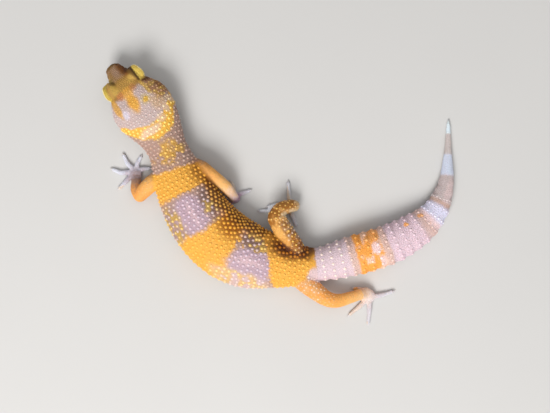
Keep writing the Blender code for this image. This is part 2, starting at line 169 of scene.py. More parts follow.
body = {
    "spine": [
        (-64.4, 49.4), (-56.6, 39.3), (-48.9, 29.1), (-45.3, 23.1), (-42.7, 17.5), (-37.7, 5.5),
        (-30.4, -8.4), (-22.0, -17.4), (-12.9, -22.4), (-4.4, -24.6), (3.8, -26.1), (14.4, -26.0),
        (29.1, -22.4), (44.4, -17.1), (57.3, -8.4), (63.2, 2.5), (64.7, 15.4), (65.1, 29.6),
    ],
    # distance from the snout, half width, top, widest level, bottom, upper and lower fullness
    "rows": [
        (0.0, 0.7, 8.1, 7.4, 6.7, 2.0, 2.0), (0.35, 1.9, 9.1, 7.4, 5.8, 2.1, 2.0),
        (1.2, 2.9, 9.9, 7.3, 4.9, 2.3, 2.1), (3.5, 3.9, 10.9, 7.2, 4.2, 2.5, 2.2),
        (6.5, 5.4, 12.2, 7.2, 3.8, 2.7, 2.2), (10.0, 7.6, 13.6, 7.2, 3.4, 2.6, 2.2),
        (14.5, 9.9, 14.8, 7.4, 2.8, 2.3, 2.2), (19.0, 11.4, 15.5, 7.7, 2.4, 2.2, 2.2),
        (23.0, 11.5, 15.5, 7.9, 2.2, 2.1, 2.2), (28.0, 10.3, 14.8, 7.8, 1.8, 2.1, 2.2),
        (33.0, 8.7, 13.9, 7.3, 1.2, 2.1, 2.2), (38.5, 7.7, 13.5, 6.9, 0.7, 2.1, 2.2),
        (45.0, 8.7, 14.3, 6.7, 0.1, 2.1, 2.3), (52.0, 10.4, 15.3, 6.5, -0.3, 2.1, 2.4),
        (60.0, 11.6, 16.1, 6.3, -0.4, 2.1, 2.4), (70.0, 12.6, 16.5, 6.2, -0.4, 2.1, 2.4),
        (80.0, 13.1, 16.4, 6.2, -0.4, 2.1, 2.4), (88.0, 12.9, 15.9, 6.1, -0.4, 2.1, 2.4),
        (96.0, 11.5, 15.1, 6.1, -0.4, 2.1, 2.4), (104.0, 9.4, 14.0, 6.0, -0.4, 2.1, 2.3),
        (112.0, 7.5, 12.6, 5.8, -0.3, 2.1, 2.2), (119.0, 6.6, 11.5, 5.4, -0.3, 2.1, 2.2),
        (127.0, 7.4, 12.2, 5.6, -0.3, 2.1, 2.2), (136.0, 7.8, 12.6, 5.7, -0.3, 2.1, 2.2),
        (145.0, 7.7, 12.0, 5.5, -0.3, 2.1, 2.2), (153.0, 7.3, 11.1, 5.1, -0.3, 2.1, 2.2),
        (160.0, 6.6, 9.9, 4.6, -0.3, 2.1, 2.2), (166.5, 5.4, 8.3, 3.9, -0.3, 2.1, 2.2),
        (173.0, 4.3, 6.8, 3.2, -0.2, 2.1, 2.2), (180.0, 3.2, 5.3, 2.5, -0.2, 2.0, 2.1),
        (187.0, 2.3, 4.0, 1.9, -0.2, 2.0, 2.0), (194.0, 1.5, 2.8, 1.4, -0.1, 2.0, 2.0),
        (202.0, 0.95, 1.9, 0.95, 0.0, 2.0, 2.0), (204.9, 0.4, 1.3, 0.8, 0.4, 2.0, 2.0),
    ],
    "segments": 88, "rings": 620,
    "coatDepth": 0.24,  # the bare skin lies this far inside the outline, under the scales
    "depthMost": 0.2,  # but never deeper than this share of the half width
    "ringsStart": 117.4, "ringsEnd": 192.0, "ringLength": 3.6, "ringSwell": 0.042,
    "ringOnTop": 0.16,  # the share of the swell that lifts the top of the tail too
    "ringStep": 1.6, "ringFade": 4,
    "lowest": 0.06,
}
spine = smoothPath(body["spine"])
spineEnd = body["rows"][-1][0]


def ringSwell(distance):  # the tail's rings rise slowly and end in a step
    size = body["ringLength"]
    passed, left = distance - body["ringsStart"], body["ringsEnd"] - distance
    phase = (passed / size) % 1.0
    fade = np.clip(np.minimum(passed / size, left / (body["ringFade"] * size)), 0, 1)
    return 1.0 + body["ringSwell"] * fade * (np.sin(math.pi * phase ** body["ringStep"]) * 2 - 1)


def bodySurface(distance, turn, depth=0.0):
    half, top, widest, bottom, upper, lower = rowsAt(body["rows"], distance).T
    swell = ringSwell(distance)
    depth = np.minimum(depth, half * body["depthMost"])
    half = half * swell - depth
    rise = (top - widest) * (1 + (swell - 1) * body["ringOnTop"]) - depth
    fall = widest - bottom - depth
    up = np.sin(turn) > 0
    full = np.where(up, upper, lower)
    side = half * np.sign(np.cos(turn)) * np.abs(np.cos(turn)) ** (2 / full)
    level = np.where(up, rise, fall) * np.sign(np.sin(turn)) * np.abs(np.sin(turn)) ** (2 / full)
    place = pathAt(spine, distance)
    ahead = pathDirection(spine, distance)
    right = np.stack([-ahead[:, 1], ahead[:, 0], np.zeros(len(ahead))], -1)
    place = place + right * side[:, None]
    place[:, 2] = np.maximum(widest + level, body["lowest"])
    return place


def makeBody():
    obj = addBall("bodySkin", body["segments"], body["rings"])
    ball = readPoints(obj)
    distance = np.arccos(np.clip(ball[:, 2], -1, 1)) / math.pi * spineEnd
    writePoints(obj, bodySurface(distance, np.arctan2(ball[:, 1], ball[:, 0]), body["coatDepth"]))
    return obj


# A row is x, y, z, half width and half height. Toes are knuckle and tip, inner one first.
limbs = {
    "foreLeft": {
        "upper": [(-42.6, 7.4, 7.6, 3.6, 3.6), (-48.1, 5.3, 7.2, 3.3, 3.4),
                  (-51.9, 2.0, 6.2, 3.0, 3.1), (-53.5, 0.1, 5.5, 2.6, 2.9)],
        "lower": [(-53.5, 0.1, 5.5, 2.6, 2.9), (-54.9, 2.6, 4.4, 2.5, 2.5),
                  (-55.3, 5.2, 3.2, 2.1, 2.0), (-55.5, 6.2, 2.7, 2.0, 1.8)],
        "palm": [(-55.5, 6.2, 2.7, 2.0, 1.8), (-55.6, 7.6, 1.9, 2.3, 1.5),
                 (-55.8, 9.2, 1.5, 2.4, 1.4), (-55.9, 10.4, 1.1, 1.7, 1.0)],
        "toes": [((-52.7, 10.7), (-50.5, 10.8)), ((-55.1, 13.0), (-53.9, 15.2)),
                 ((-59.1, 12.8), (-60.6, 15.9)), ((-61.4, 9.1), (-64.8, 10.4)),
                 ((-59.8, 5.6), (-62.3, 3.1))],
    },
    "foreRight": {
        "upper": [(-35.6, 11.2, 7.6, 3.2, 3.4), (-30.7, 11.2, 8.3, 2.9, 3.1),
                  (-26.7, 8.6, 8.9, 2.6, 2.8), (-23.7, 6.2, 8.7, 2.5, 2.7)],
        "lower": [(-23.7, 6.2, 8.7, 2.5, 2.7), (-21.1, 3.9, 7.8, 2.45, 2.5),
                  (-19.0, 1.3, 6.0, 2.25, 2.2), (-17.5, -0.8, 3.5, 2.0, 1.9)],
        "palm": [(-17.5, -0.8, 3.5, 1.9, 1.7), (-17.3, -1.2, 1.9, 2.1, 1.5),
                 (-17.6, -0.2, 1.25, 2.2, 1.2), (-18.3, 1.0, 1.0, 1.8, 0.95)],
        "toes": [((-19.5, -3.2), (-21.1, -4.3)), ((-20.5, -1.0), (-22.7, -1.4)),
                 ((-20.4, 1.8), (-22.3, 3.4)), ((-18.1, 3.6), (-18.9, 5.6)),
                 ((-14.6, 1.2), (-11.9, 2.2))],
    },
    "hindLeft": {
        "upper": [(4.7, -27.2, 7.2, 5.2, 4.9), (11.1, -34.0, 7.4, 4.0, 4.3),
                  (16.3, -38.2, 6.9, 3.2, 3.7), (19.1, -39.6, 6.4, 3.0, 3.3)],
        "lower": [(19.1, -39.6, 6.4, 3.0, 3.3), (22.3, -39.8, 5.7, 2.7, 2.9),
                  (27.1, -38.6, 4.7, 2.3, 2.4), (31.3, -37.4, 3.5, 2.2, 2.1)],
        "palm": [(31.3, -37.4, 3.5, 2.2, 1.9), (32.9, -37.3, 2.3, 2.4, 1.7),
                 (34.5, -38.4, 1.5, 2.4, 1.4), (34.5, -40.0, 1.1, 1.8, 1.0)],
        "toes": [((31.1, -36.0), (28.5, -35.6)), ((29.9, -39.4), (25.5, -39.8)),
                 ((30.5, -42.8), (26.9, -45.8)), ((34.5, -44.2), (34.1, -49.2)),
                 ((39.2, -38.2), (43.5, -36.9))],
    },
    "hindRight": {
        "upper": [(6.5, -25.5, 7.4, 4.0, 4.3), (4.9, -19.0, 8.9, 3.9, 4.2),
                  (0.9, -12.6, 9.6, 3.7, 3.8), (-1.7, -8.2, 9.3, 3.5, 3.6)],
        "lower": [(-1.7, -8.2, 9.3, 3.4, 3.5), (-0.1, -5.4, 8.5, 3.0, 2.9),
                  (3.0, -3.9, 6.4, 2.6, 2.6), (5.9, -3.6, 3.6, 2.3, 2.2)],
        "palm": [(5.9, -3.6, 3.6, 2.1, 1.7), (5.4, -3.75, 2.5, 2.15, 1.5),
                 (4.2, -4.0, 1.7, 2.3, 1.3), (2.3, -4.4, 1.05, 1.9, 1.0)],
        "toes": [((5.1, -8.4), (6.2, -11.2)), ((0.8, -7.8), (-0.9, -10.2)),
                 ((-2.5, -5.4), (-7.9, -5.7)), ((-1.5, -3.4), (-4.5, -4.0)),
                 ((3.4, 0.8), (3.1, 5.2))],
    },
}
# From the palm outwards: how far each ring of a digit lies over the level, and its radius.
digits = {
    "start": 0.15, "level": 0.62,
    "rise": (0.5, 0.2, 0.08, 0.0), "radius": (0.88, 0.8, 0.63, 0.6),
}
# The digits start a little full, because smoothing thins them.
limbSkin = {
    "depth": 0.14, "segments": 40, "rings": 60,
    "digitDepth": -0.10, "digitSegments": 20, "digitRings": 40,
    # how far each part is rounded off before its first ring and past its last
    "rounds": {"upper": (1.0, 2.4), "lower": (2.4, 1.6), "palm": (1.2, 1.2), "digit": (0.3, 0.5)},
}


def tubeRows(rows):
    legs = [0.0] + [(Vector(b[:3]) - Vector(a[:3])).length for a, b in zip(rows, rows[1:])]
    shares = np.cumsum(legs) / sum(legs)
    return smoothPath([row[:3] for row in rows]), [(s, *row[3:]) for s, row in zip(shares, rows)]


def tubeSurface(path, sizes, distance, turn, depth=0.0, rounds=(0.0, 0.0)):
    ahead = pathDirection(path, np.clip(distance, 0, path["length"]))
    across = np.cross(ahead, (0.0, 0.0, 1.0))
    upright = np.linalg.norm(across, axis=-1, keepdims=True) <= 0.02
    across = unit(np.where(upright, (1.0, 0.0, 0.0), across))
    upward = np.cross(across, ahead)
    wide, high = rowsAt(sizes, np.clip(distance / path["length"], 0, 1)).T - depth
    before = np.clip(-distance / max(rounds[0], 1e-6), 0, 1)
    after = np.clip((distance - path["length"]) / max(rounds[1], 1e-6), 0, 1)
    shrink = np.sqrt(np.maximum(1 - np.maximum(before, after) ** 2, 0))
    place = pathAt(path, distance)
    place = place + across * (wide * shrink * np.cos(turn))[:, None]
    place = place + upward * (high * shrink * np.sin(turn))[:, None]
    place[:, 2] = np.maximum(place[:, 2], body["lowest"])
    return place


def makeTube(name, rows, depth, segments, rings, rounds):
    obj = addBall(name, segments, rings)
    ball = readPoints(obj)
    path, sizes = tubeRows(rows)
    share = np.arccos(np.clip(ball[:, 2], -1, 1)) / math.pi
    distance = share * (path["length"] + sum(rounds)) - rounds[0]
    turn = np.arctan2(ball[:, 1], ball[:, 0])
    writePoints(obj, tubeSurface(path, sizes, distance, turn, depth, rounds))
    return obj


def toeRows(limb, k):
    palm = limb["palm"]
    root = (Vector(palm[-2][:2]) * 2 + Vector(palm[-1][:2])) / 3
    knuckle, tip = (Vector(p) for p in limb["toes"][k])
    spots = (root.lerp(knuckle, digits["start"]), knuckle, knuckle.lerp(tip, 0.5), tip)
    return [(*spot, digits["level"] + rise, radius, radius)
            for spot, rise, radius in zip(spots, digits["rise"], digits["radius"])]


def makeLimbs():
    made = []
    sizes = (limbSkin["depth"], limbSkin["segments"], limbSkin["rings"])
    small = (limbSkin["digitDepth"], limbSkin["digitSegments"], limbSkin["digitRings"])
    for name, limb in limbs.items():
        for part in ("upper", "lower", "palm"):
            made.append(makeTube(name + part, limb[part], *sizes, limbSkin["rounds"][part]))
        for k in range(len(limb["toes"])):
            made.append(makeTube(name + "Toe", toeRows(limb, k), *small, limbSkin["rounds"]["digit"]))
    return made


# Places on the head are back from the snout, out to the side, and level.
head = {
    "middle": 12.0, "span": 8.0, "end": 30.0,
    "eye": (8.9, 5.0, 9.9), "eyeRadius": 2.9, "pocket": 2.62,
    "lidRadius": 3.62, "opening": 6.0, "openingHeight": 3.1, "slant": 12.0, "tilt": 8.0,
    "brow": (9.0, 4.9, 11.3), "browRadii": (3.3, 1.9, 1.2), "browDepth": 0.2, "browTilt": -20.0,
    "mouth": [(-1.0, 6.9), (2.0, 6.5), (6.0, 6.0), (11.0, 5.9), (14.5, 6.4), (17.2, 7.3)],
    "mouthDepth": 0.30, "mouthWidth": 0.24, "mouthEnd": (18.0, 16.2), "throat": 2.5,
    "lip": 0.16, "lipWidth": 0.4, "lips": [(0.62, 1.0), (-0.6, 0.8)],  # over the mouth's line, share
    "nostril": (1.75, 1.95, 8.85), "nostrilDepth": 0.55, "nostrilRadius": 0.42,
    "nostrilRim": (0.75, 0.07, 0.14),  # place, spread and height
    "ear": (23.4, 7.9), "earFrom": 8.0, "earDepth": 1.1, "earSize": (0.68, 1.25),
    "earEdge": (1.25, 0.55), "earRim": (1.5, 0.08, 0.10),
    # place, radius, height: gentle swellings and hollows, on both sides
    "forms": [
        ((4.6, 3.6, 9.4), 1.7, -0.32), ((16.5, 9.6, 9.0), 4.2, 0.42), ((21.5, 10.6, 7.0), 3.4, 0.30),
        ((13.5, 5.2, 14.3), 2.6, -0.30), ((19.5, 5.5, 15.0), 4.0, 0.28), ((3.0, 2.4, 10.6), 1.3, 0.16),
        ((9.5, 0.0, 13.6), 2.6, -0.38), ((25.5, 0.0, 15.2), 3.4, -0.18), ((12.6, 8.0, 9.0), 1.5, -0.25),
        ((8.8, 5.8, 5.2), 2.6, 0.20), ((14.0, 0.0, 2.7), 5.0, -0.15),
    ],
}


def headFrame():
    back = pathDirection(spine, np.array([head["middle"]]), head["span"])[0]
    right = np.cross((0.0, 0.0, 1.0), back)
    return np.array([back, right, (0.0, 0.0, 1.0)]), spine["points"][0]


headAxes, headTip = headFrame()


def toHead(points):  # millimetres behind the snout, to the animal's right, and up
    return (points - headTip) @ headAxes.T


def fromHead(points):
    return np.asarray(points, float) @ headAxes + headTip


def onSide(feature, way):  # a feature's place on the left (-1) or the right (1)
    back, side, level = head[feature]
    return np.array((back, way * side, level))


def eyeAxes(side):  # along the lids, up across them, and outwards
    slant, tilt = math.radians(side * head["slant"]), math.radians(head["tilt"])
    along = np.array([math.cos(slant), math.sin(slant), 0.0])
    out = np.array([-math.sin(slant), math.cos(slant), 0.0]) * side
    out = out * math.cos(tilt) + np.array([0.0, 0.0, math.sin(tilt)])
    return np.array([along, np.cross(along, out) * side, out])


def lidPlaces(points, way):  # from the eye, along the eye's axes, and how far inside the opening
    local = toHead(points) - onSide("eye", way)
    u, v, w = (local @ eyeAxes(way).T).T
    inside = head["openingHeight"] / 2 * (1 - (u / (head["opening"] / 2)) ** 2) - np.abs(v)
    return local, u, v, w, inside


def facePlaces(points):  # the height over the mouth's line, and squared distances to nostril and ear
    back, side, level = toHead(points).T
    mouth = level - np.interp(back, *np.array(head["mouth"]).T)
    noseBack, noseSide, noseLevel = head["nostril"]
    nose = (back - noseBack) ** 2 + (np.abs(side) - noseSide) ** 2 + (level - noseLevel) ** 2
    (earBack, earLevel), (wide, tall) = head["ear"], head["earSize"]
    ear = ((back - earBack) / wide) ** 2 + ((level - earLevel) / tall) ** 2
    return back, side, level, mouth, nose, np.where(np.abs(side) > head["earFrom"], ear, 100.0)


def makeHeadForms():
    made = []
    for way in (-1, 1):
        lid = addBall("lid", 40, 24)
        writePoints(lid, fromHead(readPoints(lid) * head["lidRadius"] + onSide("eye", way)))
        brow = addBall("brow", 36, 20)
        turn = Matrix.Rotation(math.radians(way * head["slant"]), 3, "Z")
        turn = np.array(turn @ Matrix.Rotation(math.radians(head["browTilt"]), 3, "Y"))
        radii = np.array(head["browRadii"]) - head["browDepth"]
        writePoints(brow, fromHead((readPoints(brow) * radii) @ turn.T + onSide("brow", way)))
        made += [lid, brow]
    return made


placing = {
    "step": 0.5, "limbStep": 0.4, "atOnce": 20000,
    "fullness": 2.2, "bodyEdge": (1.03, 1.16), "limbReach": 1.75,
    "handReach": 16, "handLength": 12,
}


def nearestOn(path, points, step):
    places = np.arange(0, path["length"] + step, step)
    line = pathAt(path, places)
    axes = 2 if path is spine else 3  # the spine is followed on the floor's plane
    nearest, gap = np.empty(len(points)), np.empty(len(points))
    for start in range(0, len(points), placing["atOnce"]):
        chosen = slice(start, start + placing["atOnce"])
        away = ((points[chosen, None, :axes] - line[None, :, :axes]) ** 2).sum(-1)
        best = away.argmin(1)
        nearest[chosen] = places[best]
        gap[chosen] = np.sqrt(away[np.arange(len(away)), best])
    for _ in range(2):  # slides along the line to the foot of the perpendicular
        offset = points - pathAt(path, nearest)
        nearest = nearest + (offset * pathDirection(path, nearest)).sum(-1)
        nearest = np.clip(nearest, 0, path["length"])
    return nearest, gap


limbPaths = {name: tubeRows(limb["upper"] + limb["lower"][1:]) for name, limb in limbs.items()}


# Gives along, across and belly; then the reach down a limb, which limb, its share and its left side.
def placeOf(points):
    along, _ = nearestOn(spine, points, placing["step"])
    ahead = pathDirection(spine, along)
    offset = points - pathAt(spine, along)
    across = offset[:, 1] * ahead[:, 0] - offset[:, 0] * ahead[:, 1]
    half, top, widest, bottom, _, _ = rowsAt(body["rows"], along).T
    up = points[:, 2] > widest
    tall = np.where(up, top - widest, widest - np.maximum(bottom, 0))
    full = placing["fullness"]
    fill = (np.abs(across / half) ** full + np.abs((points[:, 2] - widest) / tall) ** full) ** (1 / full)
    belly = np.clip((widest - points[:, 2]) / tall, 0, 1)
    reach, which, share, flank = np.zeros((4, len(points)))
    for index, (path, sizes) in enumerate(limbPaths.values()):
        near, gap = nearestOn(path, points, placing["limbStep"])
        radius = rowsAt(sizes, near / path["length"]).mean(1)
        wrist = pathAt(path, np.array([path["length"]]))[0]
        beyond = np.linalg.norm(points - wrist, axis=-1)
        inHand = (near > path["length"] - 0.1) & (beyond < placing["handReach"])
        mine = ((gap < radius * placing["limbReach"]) | inHand) & (fill > 1.0)
        here = near / path["length"] + np.where(inHand, beyond / placing["handLength"], 0)
        reach, which = np.where(mine, here, reach), np.where(mine, index, which)
        share = np.where(mine, ease(*placing["bodyEdge"], fill), share)
        heading, offset = pathDirection(path, near), points - pathAt(path, near)
        turned = (heading[:, 0] * offset[:, 1] - heading[:, 1] * offset[:, 0]) / radius
        flank = np.where(mine, turned, flank)
    return np.stack([along, across, belly], -1), np.stack([reach, which, share, flank], -1)


skinShape = {
    "voxel": 0.25, "smoothAll": 5, "smoothJoints": 26,
    # joints: sizes of hip or shoulder, upper limb, elbow or knee, and wrist; the edge; digit roots
    "joints": (2.1, 1.6, 1.3, 1.2), "jointEdge": (0.7, 1.25), "digitSoft": 0.25, "digitEdge": (0.6, 1.3),
    "most": 196000, "fineHead": 27, "fineFoot": 16, "fineLevel": 4.5,
    # folds: centre, the way they follow one another, spacing, depth, radius
    "folds": [
        ((-37.5, 8.5, 9.0), (0.4, -0.9, 0.0), 1.5, 0.16, 5.5),
        ((-45.0, 8.0, 8.0), (0.9, 0.3, 0.1), 1.4, 0.18, 4.5),
        ((-34.0, 12.0, 8.0), (0.95, -0.1, 0.1), 1.3, 0.16, 4.0),
        ((-53.0, 0.8, 5.5), (0.1, 0.9, -0.3), 0.9, 0.12, 2.8),
        ((-23.9, 6.1, 8.8), (0.7, -0.7, 0.0), 0.9, 0.10, 2.8),
        ((6.5, -31.0, 8.0), (0.6, -0.7, 0.0), 1.5, 0.18, 5.0),
        ((18.9, -39.4, 6.5), (0.95, -0.2, 0.0), 1.0, 0.12, 3.2),
        ((5.5, -19.0, 9.0), (-0.3, 0.9, 0.1), 1.5, 0.18, 4.5),
        ((-1.3, -7.4, 9.4), (0.5, 0.8, 0.0), 1.0, 0.12, 3.2),
        ((-49.0, 20.0, 4.0), (0.5, -0.8, 0.0), 1.5, 0.14, 6.0),
    ],
    "foldGain": 1.6,
    "lump": 0.10, "lumpSize": 3.2, "lumpFade": 2.5,
}


def relax(points, edges, amount, times):
    count = len(points)
    neighbours = np.bincount(edges.ravel(), minlength=count)[:, None]
    for _ in range(times):
        total = np.stack([
            np.bincount(edges[:, 0], points[edges[:, 1], k], count)
            + np.bincount(edges[:, 1], points[edges[:, 0], k], count)
            for k in range(3)
        ], -1)
        points = points + (total / neighbours - points) * amount[:, None]
    return points


def jointWeight(points):
    soft = np.zeros(len(points))
    for limb in limbs.values():
        joints = (limb["upper"][0], limb["upper"][1], limb["lower"][0], limb["palm"][0])
        for row, size in zip(joints, skinShape["joints"]):
            away = np.linalg.norm(points - row[:3], axis=-1)
            soft = np.maximum(soft, 1 - ease(*skinShape["jointEdge"], away / (row[3] * size)))
        for knuckle, _ in limb["toes"]:
            root = (np.array(knuckle) + np.array(limb["palm"][-1][:2])) / 2
            away = np.linalg.norm(points[:, :2] - root, axis=-1)
            soft = np.maximum(soft, skinShape["digitSoft"] * (1 - ease(*skinShape["digitEdge"], away)))
    return soft


# Rim and crease are a place past the opening's edge, a width and a height.
lids = {
    "reach": 5.2, "front": 0.3, "upperFrom": -0.2, "edge": (-0.06, 0.20),
    "rim": (0.50, 0.48, 0.50), "rimEnds": (0.75, 1.15), "lowerRim": 0.35,
    "crease": (1.45, 0.3, 0.32), "creaseEnd": 1.1,
}


def pressEyes(points):  # opens the lids over a pocket for the eyeball, and lifts their rim
    moved = points.copy()
    for way in (-1, 1):
        local, u, v, w, inside = lidPlaces(moved, way)
        share = np.abs(u) / (head["opening"] / 2)
        near = (w > lids["front"]) & (np.linalg.norm(local, axis=-1) < lids["reach"])
        upper = near & (v > lids["upperFrom"])
        place, width, height = lids["rim"]
        lift = hump(-inside, place, width) * (1 - ease(*lids["rimEnds"], share))
        lift = np.where(upper, lift, lift * lids["lowerRim"]) * near * height
        local = local + eyeAxes(way)[2] * lift[:, None]
        opened = ease(*lids["edge"], inside) * near
        local = local + (unit(local) * head["pocket"] - local) * opened[:, None]
        place, width, depth = lids["crease"]
        crease = hump(-inside, place, width) * upper * (share < lids["creaseEnd"])
        local = local - unit(local) * (crease * depth)[:, None]
        moved = np.where(near[:, None], fromHead(local + onSide("eye", way)), moved)
    return moved


def shapeHead(points, normals):
    back, side, level, mouth, nose, ear = facePlaces(points)
    push = np.zeros(len(points))
    for (formBack, formSide, formLevel), radius, height in head["forms"]:
        away = (back - formBack) ** 2 + (np.abs(side) - formSide) ** 2 + (level - formLevel) ** 2
        push += height * np.exp(-away / radius**2)
    atMouth = ease(*head["mouthEnd"], back) * (level > head["throat"])
    lips = sum(share * hump(mouth, place, head["lipWidth"]) for place, share in head["lips"])
    push += head["lip"] * lips * atMouth
    push -= head["mouthDepth"] * hump(mouth, 0.0, head["mouthWidth"]) * atMouth
    push -= head["nostrilDepth"] * np.exp(-nose / head["nostrilRadius"] ** 2)
    place, spread, height = head["nostrilRim"]
    push += height * np.exp(-((np.sqrt(nose) - place) ** 2) / spread)
    push -= head["earDepth"] * ease(*head["earEdge"], np.sqrt(ear))
    place, spread, height = head["earRim"]
    push += height * np.exp(-((np.sqrt(ear) - place) ** 2) / spread) * (level < head["ear"][1] + 1)
    return points + normals * (push * (back < head["end"]))[:, None]


def foldSkin(points, normals):
    push = np.zeros(len(points))
    for centre, way, spacing, depth, radius in skinShape["folds"]:
        offset = points - np.array(centre)
        wave = np.sin((offset @ unit(np.array(way))) / spacing * 2 * math.pi)
        near = np.exp(-(offset**2).sum(-1) / radius**2)
        push -= depth * near * (1 - np.abs(wave)) ** 2 * skinShape["foldGain"]
    size = skinShape["lumpSize"]
    lumps = np.array([noise.noise(Vector(p) / size) for p in points])
    fade = np.clip(points[:, 2] / skinShape["lumpFade"], 0, 1)
    return points + normals * (push + lumps * skinShape["lump"] * fade)[:, None]


def makeSkin():
    skin = joinPieces("skin", [makeBody()] + makeHeadForms() + makeLimbs())
    applyModifier(skin, "REMESH", mode="VOXEL", voxel_size=skinShape["voxel"] * mm)
    points, edges = readPoints(skin) / mm, readEdges(skin)
    points = relax(points, edges, np.full(len(points), 0.5), skinShape["smoothAll"])
    points = relax(points, edges, jointWeight(points) * 0.5, skinShape["smoothJoints"])
    for shape in (shapeHead, foldSkin):
        writePoints(skin, points * mm)
        points = shape(points, readNormals(skin))
    points = pressEyes(points)
    points[:, 2] = np.maximum(points[:, 2], body["lowest"])
    writePoints(skin, points * mm)
    print("skin before thinning:", len(skin.data.polygons) * 2, "triangles")
    thinSkin(skin, points)
    skin.data.shade_smooth()
    return skin


def thinSkin(skin, points):  # the head, hands and feet keep their fine mesh
    along, _ = nearestOn(spine, points, 2.0)
    fine = along < skinShape["fineHead"]
    for limb in limbs.values():
        away = np.linalg.norm(points - limb["palm"][0][:3], axis=-1)
        fine |= (away < skinShape["fineFoot"]) & (points[:, 2] < skinShape["fineLevel"])
    group = skin.vertex_groups.new(name="thin")
    group.add(np.flatnonzero(fine).tolist(), 0.0, "REPLACE")
    group.add(np.flatnonzero(~fine).tolist(), 1.0, "REPLACE")
    ratio = skinShape["most"] / (len(skin.data.polygons) * 2)
    if ratio < 1:
        applyModifier(skin, "DECIMATE", ratio=ratio, vertex_group="thin", vertex_group_factor=2.0)
    skin.vertex_groups.clear()
    print("skin:", len(skin.data.polygons), "faces")


# Each entry is the skin between the scales and the raised scales, as seen on a screen.
colours = {
    "mauve": ((179, 146, 134), (196, 167, 154)), "mauveLight": ((174, 144, 140), (212, 190, 180)),
    "snout": ((146, 112, 66), (164, 130, 84)), "snoutTip": ((126, 94, 46), (144, 112, 62)),
    "olive": ((158, 120, 58), (180, 144, 78)), "oliveLight": ((190, 148, 74), (208, 166, 90)),
    # The first colour on the next line is painted shade in the hollows beside the lids.
    "oliveDark": ((112, 88, 34), (132, 106, 48)), "oliveYellow": ((198, 162, 80), (212, 178, 94)),
    "headLilac": ((200, 178, 175), (211, 193, 190)), "headPale": ((204, 180, 148), (222, 202, 172)),
    "headTan": ((208, 168, 122), (222, 186, 142)), "headOrange": ((226, 167, 72), (237, 182, 86)),
    "reddish": ((192, 122, 74), (208, 140, 88)), "ringYellow": ((214, 172, 76), (232, 194, 98)),
    "cheekMauve": ((164, 114, 70), (210, 162, 114)), "cheekBrown": ((144, 92, 34), (182, 130, 64)),
    # Both colours on the next line are painted shade: down the right side of the snout, and in front of and
    # behind the right lid.
    "snoutDeep": ((114, 60, 0), (142, 84, 8)), "snoutDark": ((84, 42, 0), (98, 54, 6)),
    "lidYellow": ((202, 174, 76), (216, 190, 96)), "lidOlive": ((184, 144, 72), (198, 158, 84)),
    # Below: the right upper lid's painted crease shade and painted shadow line, and its yellow lightened as
    # painted light.
    "snoutMauve": ((162, 131, 108), (174, 146, 124)), "lidCreaseShade": ((116, 84, 36), (130, 98, 46)),
    "lidShadow": ((66, 46, 12), (80, 58, 20)), "lidLitYellow": ((222, 192, 92), (234, 208, 114)),
    "streak": ((214, 160, 72), (224, 172, 82)), "napeYellow": ((238, 182, 72), (255, 222, 124)),
    "napePale": ((228, 196, 168), (250, 228, 196)), "neckYellow": ((208, 160, 80), (236, 192, 104)),
    "orange": ((239, 176, 72), (246, 186, 84)), "lilac": ((189, 162, 175), (208, 186, 200)),
    # On the right flank the dark grounds of the mauve-brown, the flank brown and the flank gold are partly
    # the skin's own colour and partly painted shade.
    "mauveBrown": ((134, 105, 98), (203, 181, 182)), "spotYellow": ((200, 160, 80), (233, 198, 114)),
    "spotPale": ((224, 182, 112), (246, 212, 142)), "flankPink": ((218, 188, 184), (236, 212, 204)),
    "flankBrown": ((122, 74, 12), (220, 160, 64)), "flankGold": ((158, 90, 8), (236, 168, 58)),
    # The first colour on the next line is painted shade, the deepest on the right flank.
    "flankDeep": ((76, 30, 0), (164, 94, 20)), "tailPink": ((221, 197, 206), (243, 224, 217)),
    "tailTan": ((219, 184, 174), (233, 200, 190)), "tailOrange": ((251, 166, 74), (255, 182, 98)),
    "tailWhite": ((246, 212, 212), (252, 226, 228)), "tailRose": ((227, 199, 211), (232, 206, 217)),
    "tailPeach": ((246, 198, 170), (250, 210, 190)), "tailDim": ((214, 182, 176), (228, 198, 192)),
    "tailDusk": ((200, 168, 156), (212, 182, 172)), "tailGrey": ((198, 182, 182), (214, 200, 200)),
    "tailEnd": ((204, 192, 190), (218, 208, 206)), "tailBlue": ((226, 222, 245), (235, 231, 251)),
    "tipBlue": ((211, 217, 236), (221, 227, 243)), "tipWhite": ((227, 240, 248), (236, 247, 253)),
    "belly": ((228, 212, 200), (236, 222, 212)), "limbMauve": ((182, 138, 104), (224, 196, 172)),
    "limbBrown": ((172, 112, 44), (236, 188, 100)), "limbCream": ((228, 200, 160), (240, 216, 180)),
    # The mouth's line here, and the nostril and ear colours on the next line, are painted shade in that
    # crease and in those openings.
    "limbPink": ((234, 172, 110), (246, 208, 176)), "mouthLineShade": ((96, 66, 52), (96, 66, 52)),
    "nostril": ((70, 46, 36), (70, 46, 36)), "earHollowShade": ((104, 66, 50), (104, 66, 50)),
}

